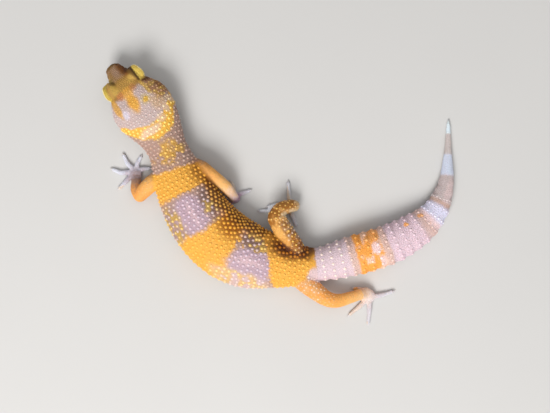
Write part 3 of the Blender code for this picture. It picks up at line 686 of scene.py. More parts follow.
# A band lies between two edges; an edge is where along = place + slope * across + bend * across
# squared. A patch is an ellipse: along, across, half length, half width, turn, soft edge, amount.
# Spots are a patch that is broken up, by a cloud of the given fineness and cover.
marks = [
    ("band", "snoutTip", (-9, 0, 0), (1.6, 0, 0), 2.2),
    ("band", "snout", (1.6, 0, 0), (6.4, 0, 0), 2.6),
    ("band", "olive", (6.4, 0, 0), (13.4, 0, 0), 3.0),
    ("band", "headLilac", (13.6, 0, 0), (29.0, 0, -0.03), 2.0),
    ("patch", "snoutMauve", 4.2, 0.1, 2.3, 1.5, 0, 1.1, 0.9),
    ("patch", "oliveYellow", 5.2, -3.8, 1.5, 1.0, 0, 0.8, 0.7),
    # Painted shade down the right side of the snout.
    ("patch", "snoutDeep", 4.4, 3.7, 4.4, 2.2, 10, 0.9, 0.85),
    # Painted shadow in front of the right lid.
    ("patch", "snoutDark", 5.6, 4.2, 1.8, 1.2, 0, 0.9, 0.9),
    ("patch", "oliveLight", 10.6, 0.6, 2.4, 4.6, 0, 0.9, 0.8),
    ("patch", "oliveYellow", 9.6, -4.3, 2.4, 1.5, 0, 0.8, 0.8),
    ("patch", "oliveYellow", 9.7, 3.4, 1.5, 1.3, 0, 0.9, 0.6),
    ("patch", "headOrange", 13.6, -0.9, 2.4, 2.4, 0, 0.7, 0.8),
    ("patch", "reddish", 12.8, -3.8, 1.5, 1.5, 0, 0.7, 0.75),
    ("patch", "reddish", 12.9, 2.0, 1.6, 1.3, 0, 0.8, 0.5),
    ("patch", "headOrange", 17.8, -1.3, 4.0, 2.1, -6, 0.8, 1.0),
    # Painted shade in the hollow in front of the left lid, and between the right brow and lid.
    ("patch", "oliveDark", 7.0, -3.4, 1.2, 0.8, 20, 0.9, 0.8),
    ("patch", "oliveDark", 8.4, 4.8, 2.2, 0.7, 20, 0.9, 0.6),
    ("patch", "headPale", 19.5, 3.3, 2.1, 2.0, 0, 0.5, 0.9),
    ("patch", "ringYellow", 19.5, 3.3, 1.1, 1.1, 0, 0.6, 1.0),
    ("patch", "ringYellow", 15.6, 6.0, 3.4, 1.0, 8, 0.6, 0.85),
    ("patch", "streak", 15.6, -7.7, 4.4, 1.2, -4, 0.7, 0.9),
    ("patch", "headPale", 20.6, 8.6, 3.2, 1.5, 4, 0.9, 0.6),
    ("patch", "headTan", 22.6, 6.2, 2.8, 2.6, 0, 1.0, 0.6),
    ("patch", "cheekMauve", 16.8, 8.8, 5.6, 2.3, 4, 0.5, 0.85),
    ("patch", "cheekBrown", 15.8, 11.0, 6.0, 1.6, 4, 0.6, 0.8),
    # Painted shadow behind the right lid.
    ("patch", "snoutDark", 12.6, 7.6, 1.2, 1.5, 0, 0.9, 0.85),
    ("spots", "spotYellow", 18.6, 8.8, 5.5, 2.4, 4, 0.5, 0.7, 0.55, 0.22),
    # Painted highlight: a bluish-white sheen on the left of the head.
    ("patch", "tailBlue", 19.8, -6.2, 1.9, 1.3, 0, 0.9, 0.55),
    ("band", "napeYellow", (28.2, 0, -0.050), (34.3, 0, -0.078), 1.0),
    ("patch", "napePale", 30.4, -2.2, 1.6, 4.4, 0, 0.7, 0.95),
    ("patch", "napePale", 28.0, 3.9, 1.5, 1.6, 0, 0.7, 0.7),
    ("patch", "napePale", 25.8, 7.6, 1.4, 1.3, 0, 0.6, 0.9),
    ("patch", "napePale", 23.6, 10.4, 1.2, 1.2, 0, 0.5, 0.9),
    ("patch", "neckYellow", 40.0, 0.8, 3.2, 2.8, 0, 0.9, 0.8),
    ("spots", "neckYellow", 40.0, 0.2, 4.6, 6.2, 0, 0.6, 0.95, 0.45, 0.5),
    ("band", "orange", (46.5, 0.09, 0), (56.6, 0, 0), 1.2),
    ("patch", "mauveLight", 64.5, -8.0, 7.6, 5.5, 0, 0.6, 0.9),
    ("patch", "lilac", 65.0, -0.9, 7.4, 6.2, 0, 0.45, 1.0),
    # Painted highlight: a pale streak along the top of the back.
    ("patch", "tailWhite", 66.0, -1.0, 5.0, 0.9, 0, 0.9, 0.30),
    # Right of the lilac patch: mauve-brown and flank brown, partly the skin's colour and partly painted
    # shade.
    ("patch", "mauveBrown", 64.0, 6.4, 7.0, 2.6, 0, 0.8, 0.9),
    ("patch", "flankBrown", 63.0, 10.2, 9.0, 2.9, 0, 0.6, 0.9),
    ("spots", "spotYellow", 65.6, -9.6, 7.4, 3.8, 0, 0.5, 0.9, 0.55, 0.56),
    ("spots", "spotYellow", 67.6, 5.8, 5.0, 2.4, 0, 0.6, 0.9, 0.60, 0.48),
    ("band", "orange", (72.0, 0.18, 0), (85.0, -0.14, 0), 1.4),
    ("patch", "lilac", 93.0, -3.4, 8.4, 7.4, 0, 0.35, 1.0),
    # Painted highlight: a pale streak along the top of the back.
    ("patch", "tailWhite", 92.0, -1.6, 5.0, 1.6, 0, 1.0, 0.35),
    # Right of the lilac patch: mauve-brown and flank brown, partly the skin's colour and partly painted
    # shade.
    ("patch", "mauveBrown", 91.6, 5.6, 7.6, 2.5, 0, 0.7, 0.9),
    ("patch", "flankBrown", 93.0, 10.0, 8.0, 2.8, 0, 0.6, 0.9),
    ("patch", "flankPink", 91.5, -9.6, 9.0, 3.4, 0, 0.7, 0.8),
    ("spots", "spotPale", 90.5, -9.8, 9.5, 3.4, 0, 0.6, 0.85, 0.60, 0.50),
    ("spots", "spotYellow", 91.0, 5.6, 8.0, 2.8, 0, 0.6, 0.85, 0.60, 0.42),
    ("spots", "orange", 86.0, 4.6, 3.0, 3.0, 0, 0.7, 0.8, 0.60, 0.50),
    ("patch", "ringYellow", 96.4, 3.8, 1.4, 1.2, 0, 0.6, 0.8),
    ("band", "orange", (99.2, -0.36, 0), (117.2, 0, 0), 1.2),
    # Darker gold down the right flank, partly the skin's colour and partly painted shade.
    ("patch", "flankGold", 51.5, 9.6, 5.6, 4.4, 0, 0.9, 0.65),
    ("patch", "flankGold", 78.5, 9.6, 7.8, 6.4, 0, 0.9, 0.95),
    # Painted shade: the deepest dark on the right flank.
    ("patch", "flankDeep", 79.5, 12.2, 8.4, 3.2, 0, 0.9, 0.9),
    ("patch", "flankGold", 108.0, 7.2, 9.0, 5.0, 0, 0.9, 0.95),
    # Painted shade: the right flank beside the thigh.
    ("patch", "flankDeep", 108.4, 6.6, 9.5, 3.7, 0, 0.9, 0.95),
    # A long band of painted shade down the right flank, over the flank's own brown.
    ("patch", "flankBrown", 82.0, 13.6, 36.0, 4.4, 0, 0.8, 0.8),
    ("band", "tailPink", (117.2, 0, 0), (300, 0, 0), 0.8),
    ("patch", "tailPink", 115.6, -5.0, 2.6, 4.4, 0, 0.4, 0.9),
    ("band", "tailTan", (130.2, 0, 0), (133.2, 0, 0), 1.4),
    ("band", "tailOrange", (132.8, 0, 0), (136.2, 0, 0), 0.7),
    ("band", "tailPeach", (136.0, 0, 0), (143.4, 0, 0), 0.8),
    ("patch", "tailOrange", 137.8, -5.8, 3.6, 1.7, 0, 0.5, 1.0),
    ("patch", "tailOrange", 137.2, 1.2, 1.7, 2.8, 0, 0.5, 1.0),
    ("patch", "tailOrange", 139.8, -3.6, 1.2, 2.4, 0, 0.6, 1.0),
    ("patch", "tailOrange", 138.6, 3.8, 2.0, 1.5, 0, 0.7, 0.8),
    ("patch", "tailOrange", 141.0, 6.0, 3.0, 2.0, 0, 0.7, 0.8),
    ("patch", "tailOrange", 142.0, -1.5, 0.9, 1.1, 0, 0.6, 0.9),
    ("spots", "tailOrange", 139.6, 0.0, 3.8, 7.6, 0, 0.5, 0.7, 0.9, 0.30),
    ("patch", "tailWhite", 140.5, 0.9, 1.5, 2.3, 0, 0.6, 0.95),
    ("patch", "tailWhite", 142.0, -4.6, 1.0, 2.2, 0, 0.6, 0.8),
    ("patch", "tailPeach", 135.0, -1.0, 0.6, 0.8, 0, 0.7, 0.6),
    ("patch", "tailPeach", 134.4, 3.2, 0.6, 0.7, 0, 0.7, 0.5),
    ("band", "tailTan", (143.2, 0, 0), (146.2, 0, 0), 1.4),
    ("band", "tailRose", (146.0, 0, 0), (160.0, 0, 0), 1.6),
    ("patch", "tailOrange", 155.3, 4.3, 1.0, 0.9, 0, 0.6, 0.9),
    ("band", "tailDim", (160.2, 0, 0), (163.8, 0, 0), 2.6),
    ("patch", "tailOrange", 163.4, 3.4, 1.0, 0.9, 0, 0.6, 0.8),
    ("patch", "tailOrange", 164.2, -1.0, 0.7, 0.8, 0, 0.7, 0.6),
    ("patch", "tailOrange", 161.8, 4.2, 0.8, 0.8, 0, 0.6, 0.7),
    ("band", "tailWhite", (163.6, 0, 0), (166.0, 0, 0), 1.4),
    ("band", "tailBlue", (165.4, 0, 0), (171.0, 0, 0), 2.4),
    ("band", "tailDusk", (171.3, 0, 0), (173.2, 0, 0), 1.2),
    ("band", "tailGrey", (173.2, 0, 0), (183.4, 0, 0), 1.4),
    # Painted highlight: a pale streak along the top of the tail.
    ("patch", "tailWhite", 177.0, -1.5, 4.6, 1.6, 0, 0.9, 0.35),
    ("band", "tipBlue", (183.2, 0, 0), (191.4, 0, 0), 1.0),
    ("band", "tailEnd", (191.2, 0, 0), (199.6, 0, 0), 1.0),
    ("band", "tipWhite", (199.2, 0, 0), (300, 0, 0), 1.0),
]

# Colours down each limb: 0 is the shoulder or hip, 1 the wrist or ankle, 2 the digit tips.
limbColours = {
    "foreLeft": [
        (0.15, (190, 152, 124)), (0.32, (240, 178, 98)), (0.58, (248, 174, 92)), (0.72, (246, 168, 88)),
        (0.80, (226, 154, 88)), (0.92, (178, 138, 114)), (1.08, (158, 130, 124)), (1.3, (190, 178, 190)),
        (1.55, (222, 222, 236)), (2.2, (236, 238, 248)),
    ],
    "foreRight": [
        (0.12, (180, 142, 116)), (0.28, (214, 150, 80)), (0.48, (246, 178, 96)), (0.66, (248, 190, 118)),
        (0.80, (246, 204, 164)), (0.92, (238, 208, 202)), (1.06, (172, 132, 160)), (1.3, (196, 186, 198)),
        (1.6, (216, 216, 226)), (2.2, (226, 228, 236)),
    ],
    "hindLeft": [
        (0.2, (240, 160, 84)), (0.5, (246, 168, 84)), (0.8, (247, 180, 98)), (1.0, (242, 190, 130)),
        (1.2, (234, 204, 184)), (1.6, (220, 212, 220)), (2.2, (224, 222, 230)),
    ],
    "hindRight": [
        # The two darkest stops at the hip are painted shade where the thigh meets the body.
        (0.06, (128, 74, 26)), (0.19, (156, 96, 40)), (0.30, (224, 158, 76)), (0.5, (240, 180, 98)),
        (0.75, (216, 156, 82)), (1.0, (212, 174, 122)), (1.15, (220, 204, 184)), (1.5, (214, 212, 220)),
        (2.2, (224, 226, 234)),
    ],
}

# Limb, reach from and to, left side from and to, colour, fineness, cover.
limbMarks = [
    ("hindRight", 0.05, 0.62, -2.0, 0.05, "limbBrown", 0.5, 0.80),
    ("hindRight", 0.26, 0.50, -2.0, -0.05, "limbMauve", 0.6, 0.45),
    ("hindRight", 0.60, 0.98, -0.25, 2.0, "limbBrown", 0.6, 0.75),
    ("hindRight", 0.62, 1.10, -2.0, -0.45, "limbCream", 0.3, 0.97),
    ("hindLeft", 0.05, 0.45, -2.0, 2.0, "limbPink", 0.5, 0.5),
]

# How far the edges of the marks wander, less on the head and the tail, and the rest of the coat's rules.
wander = {
    "coarse": (0.34, 2.0), "fine": (1.15, 0.9), "limbMove": 0.22,
    "calm": 0.45, "headEnd": (22, 32), "tailStart": (132, 124),
}
painting = {
    "limbTip": (255, 238, 215), "limbTipShare": 0.18,
    "bellyEdge": (0.40, 0.85), "throatEdge": (0.20, 0.46), "throatEnd": 32,
}


def screen(colour):  # screen colour to the light it stands for
    value = np.array(colour) / 255.0
    return np.where(value <= 0.04045, value / 12.92, ((value + 0.055) / 1.055) ** 2.4)


def lay(colour, paint, amount):
    return colour + (paint - colour) * amount[:, None]


def markPlaces(place, limb):
    moved = place[:, :2].copy()
    reach = limb[:, 0].copy()
    along = place[:, :1]
    trunk = ease(*wander["headEnd"], along) * ease(*wander["tailStart"], along)
    calm = wander["calm"] + (1 - wander["calm"]) * trunk
    for size, move in (wander["coarse"], wander["fine"]):
        cloud = np.array([noise.noise_vector(Vector((p[0], p[1], 0.0)) * size) for p in place])
        moved += cloud[:, :2] * move / 2 * calm
        reach += cloud[:, 2] * wander["limbMove"] / 2
    return moved, reach


def cloudAt(along, across, size, cover):  # 1 inside the clouds, which fill that share of the skin
    cloud = np.array([noise.noise(Vector((a, c, 7.3)) * size) for a, c in zip(along, across)])
    level = 0.55 * (0.5 - cover)
    return ease(level - 0.06, level + 0.06, cloud)


def bandShare(along, across, front, rear, soft):
    pastFront, pastRear = (
        along - place - slope * across - bend * across**2 for place, slope, bend in (front, rear))
    return ease(-soft / 2, soft / 2, pastFront) * (1 - ease(-soft / 2, soft / 2, pastRear))


def patchShare(along, across, centreAlong, centreAcross, long, wide, turn, soft, full):
    turn = math.radians(turn)
    u, v = along - centreAlong, across - centreAcross
    u, v = u * math.cos(turn) + v * math.sin(turn), v * math.cos(turn) - u * math.sin(turn)
    return full * (1 - ease(1 - soft / 2, 1 + soft / 2, np.hypot(u / long, v / wide)))


def markColours(points, place, limb, raised):
    choose = 1 if raised else 0
    moved, reach = markPlaces(place, limb)
    colour = np.tile(screen(colours["mauve"][choose]), (len(place), 1))
    for kind, name, *rule in marks:
        if kind == "band":
            amount = bandShare(*moved.T, *rule)
        else:
            amount = patchShare(*moved.T, *rule[:7])
        if kind == "spots":
            inside = amount > 0
            amount[inside] *= cloudAt(place[inside, 0], place[inside, 1], *rule[7:])
        colour = lay(colour, screen(colours[name][choose]), amount)
    colour = limbPaint(colour, place, limb, reach, choose)
    colour = facePaint(colour, points, choose)
    throat, belly = ease(*painting["throatEdge"], place[:, 2]), ease(*painting["bellyEdge"], place[:, 2])
    under = np.where(place[:, 0] < painting["throatEnd"], throat, belly) * (1 - limb[:, 2])
    return lay(colour, screen(colours["belly"][choose]), under)


def limbPaint(colour, place, limb, reach, choose):
    tip = screen(painting["limbTip"])
    for index, (limbName, stops) in enumerate(limbColours.items()):
        places = [at for at, _ in stops]
        paints = np.array([screen(paint) for _, paint in stops])
        down = np.stack([np.interp(reach, places, paints[:, k]) for k in range(3)], -1)
        down += (tip - down) * painting["limbTipShare"] * choose
        mine = limb[:, 1] == index
        for name, start, end, low, high, paint, size, cover in limbMarks:
            if name != limbName:
                continue
            inside = ease(start - 0.1, start + 0.05, reach) * ease(end + 0.05, end - 0.05, reach)
            inside *= ease(low - 0.3, low + 0.1, limb[:, 3]) * ease(high + 0.2, high - 0.2, limb[:, 3])
            chosen = mine & (inside > 0) & (limb[:, 2] > 0)
            inside[chosen] *= cloudAt(place[chosen, 0], place[chosen, 1], size, cover)
            down = lay(down, screen(colours[paint][choose]), inside)
        colour = lay(colour, down, mine * limb[:, 2])
    return colour


# The yellow of each upper lid ends at the edge given; on the left olive follows it inwards, on the right
# painted crease shade and a painted shadow line, and there the yellow is lightened as painted light.
facing = {
    "lid": (4.5, 4.0), "lidFront": (-0.9, 0.2), "leftEdge": 0.95, "rightEdge": 1.15,
    "lowerLid": (1.6, 0.7), "shadowAt": 0.55, "shadowWidth": 0.45, "shadowEnds": (4.0, 2.4),
    "mouthLineShade": (0.34, 0.10), "mouthEnd": 17, "nostril": (0.5, 0.2), "ear": (1.0, 0.5),
}


def facePaint(colour, points, choose):  # lids, the line of the mouth, nostrils and ears
    back, side, level, mouth, nose, ear = facePlaces(points)
    onHead = (back < head["end"]) & (back > -2)
    layers = []
    for way in (-1, 1):
        local, u, v, w, inside = lidPlaces(points, way)
        onLid = ease(*facing["lid"], np.linalg.norm(local, axis=-1)) * ease(*facing["lidFront"], w)
        upper, lower = onLid * (v > 0), onLid * (v <= 0)
        if way < 0:
            past = -inside - facing["leftEdge"]
            layers += [("lidOlive", upper * ease(0, 0.4, past) * ease(0.2, 1.0, w) * 0.9),
                       ("lidYellow", upper * ease(0.25, 0, past))]
        else:
            past = facing["rightEdge"] - side + head["eye"][1]
            shadow = hump(past, facing["shadowAt"], facing["shadowWidth"])
            shadow *= ease(*facing["shadowEnds"], np.abs(u))
            # Right upper lid: painted crease shade inwards of the rim, a painted shadow line, and the rim's
            # yellow lightened as painted light.
            layers += [("lidCreaseShade", upper * ease(0, 0.4, past) * ease(-0.4, 0.4, w) * 0.5),
                       ("lidShadow", upper * shadow * 0.95),
                       ("lidLitYellow", upper * ease(0.2, 0, past))]
        layers.append(("lidYellow", lower * ease(*facing["lowerLid"], -inside) * 0.9))
    atMouth = (back < facing["mouthEnd"]) & (level > head["throat"])
    # Painted shade in the crease of the mouth, in the nostrils and in the ear openings.
    layers += [("mouthLineShade", ease(*facing["mouthLineShade"], np.abs(mouth)) * atMouth * 0.8),
               ("nostril", ease(*facing["nostril"], np.sqrt(nose)) * 0.9),
               ("earHollowShade", ease(*facing["ear"], np.sqrt(ear)) * 0.85)]
    for name, amount in layers:
        colour = lay(colour, screen(colours[name][choose]), amount * onHead)
    return colour


skin = makeSkin()
skinPoints = readPoints(skin) / mm
skinPlace, skinLimb = placeOf(skinPoints)
addAttribute(skin, "paint", markColours(skinPoints, skinPlace, skinLimb, False))
flesh = ["head", "lower_jaw", "neck", "trunk_front", "trunk_middle", "trunk_rear"]
flesh += ["tail_base", "tail_middle", "tail_end"]
flesh += [part + side for part in ("upper_arm", "forearm", "hand", "thigh", "shank", "foot")
          for side in ("_left", "_right")]
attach(skin, "root")
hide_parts(*flesh)
print("the skin is on")

skinTree = BVHTree.FromObject(skin, bpy.context.evaluated_depsgraph_get())
dice = np.random.default_rng(7)

coat = {
    # first and last place along, row step, spacing, turns from and to (degrees), size, height
    "granules": [
        (0.4, 6.4, 0.58, 0.64, -14, 194, 0.38, 0.17), (6.4, 13.0, 0.56, 0.62, -22, 202, 0.37, 0.17),
        (13.0, 24.0, 0.40, 0.46, -35, 215, 0.26, 0.12), (24.0, 42.0, 0.40, 0.46, -40, 220, 0.26, 0.13),
        (42.0, 117.0, 0.40, 0.46, -38, 218, 0.26, 0.14), (117.0, 160.0, 0.44, 0.52, -40, 220, 0.33, 0.08),
        (160.0, 182.0, 0.40, 0.46, -40, 220, 0.29, 0.07), (182.0, 203.0, 0.36, 0.38, -40, 220, 0.22, 0.07),
    ],
    "tubercles": [
        (13.6, 16.0, 1.15, 1.35, 10, 170, 0.38, 0.22), (16.0, 25.0, 1.30, 1.50, 4, 176, 0.44, 0.30),
        (25.0, 40.0, 1.55, 1.85, -6, 186, 0.56, 0.38), (40.0, 115.5, 1.68, 1.98, -14, 194, 0.65, 0.46),
    ],
    # one row on each ring of the tail, full size where the tail is as wide as given
    "tailRow": {"phase": 0.66, "spacing": 2.5, "turns": (4, 176), "size": 0.66, "height": 0.38,
                "last": 178.0, "fullWidth": 7.6, "shrink": 0.6, "closest": 0.5},
    "lidGranules": {"spacing": 0.42, "size": 0.25, "height": 0.10},
    "limbGranules": {"step": 0.42, "spacing": 0.48, "turns": (0, 354), "size": 0.27, "height": 0.08,
                     "past": 0.6},
    # limb, first and last place as a share of its length, turns from and to, size, height
    "limbTubercles": {"step": 1.35, "spacing": 1.55, "rows": [
        ("foreLeft", 0.35, 0.60, 40, 140, 0.30, 0.12), ("hindLeft", 0.15, 0.62, 10, 170, 0.42, 0.22),
        ("hindRight", 0.12, 0.60, -15, 100, 0.50, 0.32), ("hindRight", 0.62, 0.94, 50, 175, 0.44, 0.26),
    ]},
    "digitScutes": {"step": 0.40, "spacing": 0.42, "turns": (-10, 190), "size": 0.24, "height": 0.07,
                    "start": 0.2, "depth": 0.03},
    # jitter along is a share of the row step; points on each row's outline, and jitter of the turn
    "jitter": 0.10, "onBody": (90, 0.012), "onLimb": (60, 0.020),
    "ends": (0.3, 0.5), "offFloor": 0.12,
    "crowd": 0.70, "tubercleRoom": 1.12, "largest": 0.6, "sink": 0.22, "seat": 0.65,
    "sizes": (0.9, 1.1),
    "regions": {"scales_head": (0, 30), "scales_shoulders": (30, 72), "scales_back": (72, 117.4),
                "scales_tail": (117.4, 300)},
}


def makeDome(name, segments, rings, point):
    dome = addBall(name, segments, rings)
    bpy.ops.object.mode_set(mode="EDIT")
    bpy.ops.mesh.select_all(action="SELECT")
    bpy.ops.mesh.bisect(plane_co=(0, 0, 0), plane_no=(0, 0, 1), threshold=0.01,
                        use_fill=True, clear_inner=True)
    bpy.ops.object.mode_set(mode="OBJECT")
    points = readPoints(dome)
    wide = np.linalg.norm(points[:, :2], axis=-1)
    points[:, 2] = np.maximum(points[:, 2], 0) * (1 + point * (1 - wide) ** 2)
    points[:, :2] *= 1 - point * 0.25 * np.clip(points[:, 2:], 0, 1)
    shape = {"points": points, "faces": [tuple(p.vertices) for p in dome.data.polygons]}
    bpy.data.objects.remove(dome)
    return shape


domes = {"granule": makeDome("granuleDome", 6, 4, 0.0), "tubercle": makeDome("tubercleDome", 10, 6, 0.26)}


def evenTurns(ring, turns, spacing, odd):
    sides = np.linalg.norm(np.diff(ring, axis=0), axis=1)
    arc = np.concatenate([[0.0], np.cumsum(sides)])
    count = max(1, int(arc[-1] / spacing))
    return np.interp((np.arange(count) + (0.75 if odd else 0.25)) * arc[-1] / count, arc, turns)


def layRows(surface, path, rule, outline, ends):  # rows of roots, each set between those of the last
    start, end, step, spacing, low, high, size, height = rule
    count, wobble = outline
    turns = np.linspace(math.radians(low), math.radians(high), count)
    found = []
    for row, distance in enumerate(np.arange(start, end, step)):
        ring = surface(np.full(count, distance), turns)
        chosen = evenTurns(ring, turns, spacing, row % 2)
        chosen = chosen + dice.normal(0, wobble, len(chosen))
        places = distance + dice.normal(0, coat["jitter"] * step, len(chosen))
        places = np.clip(places, *ends)
        sizes = np.tile((size, size, height), (len(chosen), 1))
        found.append(np.hstack([surface(places, chosen), pathDirection(path, places), sizes]))
    return np.vstack(found)


def bodyRows(*rule):
    def surface(places, turns):
        return bodySurface(places, turns, body["coatDepth"])

    first, last = coat["ends"]
    return layRows(surface, spine, rule, coat["onBody"], (first, spineEnd - last))


def limbRows(path, sizes, depth, *rule):
    def surface(places, turns):
        return tubeSurface(path, sizes, places, turns, depth)

    return layRows(surface, path, rule, coat["onLimb"], (-math.inf, math.inf))


def tubercleRoots():
    found = [bodyRows(*row) for row in coat["tubercles"]]
    tail, first, size = coat["tailRow"], body["ringsStart"], body["ringLength"]
    for k in range(int((tail["last"] - first) / size)):
        distance = first + (k + tail["phase"]) * size
        share = float(rowsAt(body["rows"], np.array([distance]))[0, 0]) / tail["fullWidth"]
        spacing = tail["spacing"] * max(share, tail["closest"])
        found.append(bodyRows(distance, distance + 0.1, 1.0, spacing, *tail["turns"],
                              tail["size"] * share ** tail["shrink"], tail["height"] * share))
    rule = coat["limbTubercles"]
    for name, first, last, *row in rule["rows"]:
        path, sizes = limbPaths[name]
        span = (first * path["length"], last * path["length"])
        row = (*span, rule["step"], rule["spacing"], *row)
        found.append(limbRows(path, sizes, limbSkin["depth"], *row))
    return np.vstack(found)


def lidRoots():  # evenly over each lid's ball
    rule, radius = coat["lidGranules"], head["lidRadius"]
    count = int(4 * math.pi * radius**2 / (rule["spacing"] ** 2 * 0.87))
    k = np.arange(count)
    level = 1 - 2 * (k + 0.5) / count
    turn, wide = k * math.pi * (3 - math.sqrt(5)), np.sqrt(1 - level**2)
    ball = np.stack([wide * np.cos(turn), wide * np.sin(turn), level], -1) * radius
    found = []
    for way in (-1, 1):
        ahead = np.tile(eyeAxes(way)[0] @ headAxes, (count, 1))
        sizes = np.tile((rule["size"], rule["size"], rule["height"]), (count, 1))
        found.append(np.hstack([fromHead(ball + onSide("eye", way)), ahead, sizes]))
    return np.vstack(found)


def rowRule(rule):
    return rule["step"], rule["spacing"], *rule["turns"], rule["size"], rule["height"]


def granuleRoots():
    found = [lidRoots()] + [bodyRows(*row) for row in coat["granules"]]
    limbRule, scute = coat["limbGranules"], coat["digitScutes"]
    for limb in limbs.values():
        for part in ("upper", "lower", "palm"):
            path, sizes = tubeRows(limb[part])
            span = (-limbRule["past"], path["length"] + limbRule["past"])
            found.append(limbRows(path, sizes, limbSkin["depth"], *span, *rowRule(limbRule)))
        for k in range(len(limb["toes"])):
            path, sizes = tubeRows(toeRows(limb, k))
            span = (scute["start"], path["length"])
            found.append(limbRows(path, sizes, scute["depth"], *span, *rowRule(scute)))
    return np.vstack(found)


def seatOnSkin(rows):  # keeps what lies close over the skin, and moves it onto it
    seated, normals = [], []
    for row in rows:
        spot, normal, _, _ = skinTree.find_nearest(Vector(row[:3]) * mm, coat["seat"] * mm)
        if spot is None or spot.z < coat["offFloor"] * mm:
            continue
        seated.append(np.concatenate([np.array(spot) / mm, row[3:]]))
        normals.append(normal)
    return np.array(seated), np.array(normals)


# How far the scales keep from each opening; nostril and ear as squared distances.
clear = {"lips": 0.98, "lipsEnd": 16.6, "nostril": 0.62**2, "ear": 1.5,
         "eye": 0.62, "eyeFront": 0.3, "eyeReach": 5}


def atOpening(points):  # eyes, ears, nostrils and the line of the mouth stay clear of scales
    back, _, level, mouth, nose, ear = facePlaces(points)
    blocked = (np.abs(mouth) < clear["lips"]) & (back < clear["lipsEnd"]) & (level > head["throat"])
    blocked |= (nose < clear["nostril"]) | (ear < clear["ear"])
    for way in (-1, 1):
        local, _, _, w, inside = lidPlaces(points, way)
        near = (w > clear["eyeFront"]) & (np.linalg.norm(local, axis=-1) < clear["eyeReach"])
        blocked |= (inside > -clear["eye"]) & near
    return blocked


def thinOut(points, sizes, share):  # earlier scales win over later ones
    tree = KDTree(len(points))
    for k, point in enumerate(points):
        tree.insert(point, k)
    tree.balance()
    alive = np.ones(len(points), bool)
    for k, point in enumerate(points):
        if alive[k]:
            for _, other, gap in tree.find_range(point, (sizes[k] + coat["largest"]) * share):
                if other > k and gap < (sizes[k] + sizes[other]) * share:
                    alive[other] = False
    return alive


# The unwrap: the body's strip and a narrow one for each limb, start and width; the size of one scale.
unwrap = {"along": (0.02, 0.96), "body": (0.03, 0.52), "limb": (0.60, 0.085), "limbStep": 0.098,
          "limbReach": 2.4, "middle": 6.0, "patch": 0.0015}


def bakePlace(roots, place, limb):  # each scale's spot on an unwrap of the skin's own shape
    turn = np.arctan2(roots[:, 2] - unwrap["middle"], place[:, 1]) % (2 * math.pi) / (2 * math.pi)
    onLimb = limb[:, 2] > 0.5
    down = np.clip(limb[:, 0] / unwrap["limbReach"], 0, 1)
    start, width = unwrap["along"]
    along = start + width * np.where(onLimb, down, place[:, 0] / spineEnd)
    start, width = unwrap["body"]
    limbStart, limbWidth = unwrap["limb"]
    onBody = start + width * turn
    onStrip = limbStart + unwrap["limbStep"] * limb[:, 1] + limbWidth * turn
    return np.stack([along, np.where(onLimb, onStrip, onBody)], -1)


def stampDome(name, dome, points):  # one mesh of the dome's faces, over and over
    total, count = points.shape[:2]
    corners = np.concatenate([np.array(face) for face in dome["faces"]])
    corners = (corners[None] + np.arange(total)[:, None] * count).ravel()
    lengths = np.tile([len(face) for face in dome["faces"]], total)
    mesh = bpy.data.meshes.new(name)
    mesh.vertices.add(total * count)
    mesh.vertices.foreach_set("co", (points * mm).astype(np.float32).ravel())
    mesh.loops.add(len(corners))
    mesh.loops.foreach_set("vertex_index", corners.astype(np.int32))
    mesh.polygons.add(len(lengths))
    mesh.polygons.foreach_set("loop_start", (np.cumsum(lengths) - lengths).astype(np.int32))
    mesh.update(calc_edges=True)
    mesh.validate()
    mesh.shade_smooth()
    obj = bpy.data.objects.new(name, mesh)
    bpy.context.scene.collection.objects.link(obj)
    return obj, corners


def layScales(name, dome, rows, normals, raised=False):
    roots, ahead, sizes = rows[:, :3], rows[:, 3:6], rows[:, None, 6:9]
    normals = unit(normals)
    along = unit(ahead - normals * (ahead * normals).sum(-1, keepdims=True))
    across = np.cross(normals, along)
    shape, total = dome["points"], len(roots)
    lift = shape[None, :, 2:] * sizes[..., 2:] - coat["sink"] * sizes[..., 2:]
    points = roots[:, None] + along[:, None] * shape[None, :, :1] * sizes[..., :1]
    points = points + across[:, None] * shape[None, :, 1:2] * sizes[..., 1:2]
    obj, corners = stampDome(name, dome, points + normals[:, None] * lift)
    place, limb = placeOf(roots)
    for attribute, high in (("paint", False), ("tip", raised)):
        addAttribute(obj, attribute, np.repeat(markColours(roots, place, limb, high), len(shape), 0))
    tone = np.repeat(dice.random(total), len(shape))
    rise = np.tile(np.clip(shape[:, 2], 0, 1), total)
    addAttribute(obj, "scale", np.stack([tone, rise, np.zeros(len(tone))], -1))
    patch = bakePlace(roots, place, limb)[:, None] + shape[None, :, :2] * unwrap["patch"]
    layer = obj.data.uv_layers.new(name="OFBake")
    layer.uv.foreach_set("vector", patch.reshape(-1, 2)[corners].astype(np.float32).ravel())
    print(name, total, "scales,", len(corners) - 2 * len(obj.data.polygons), "triangles")
    return obj


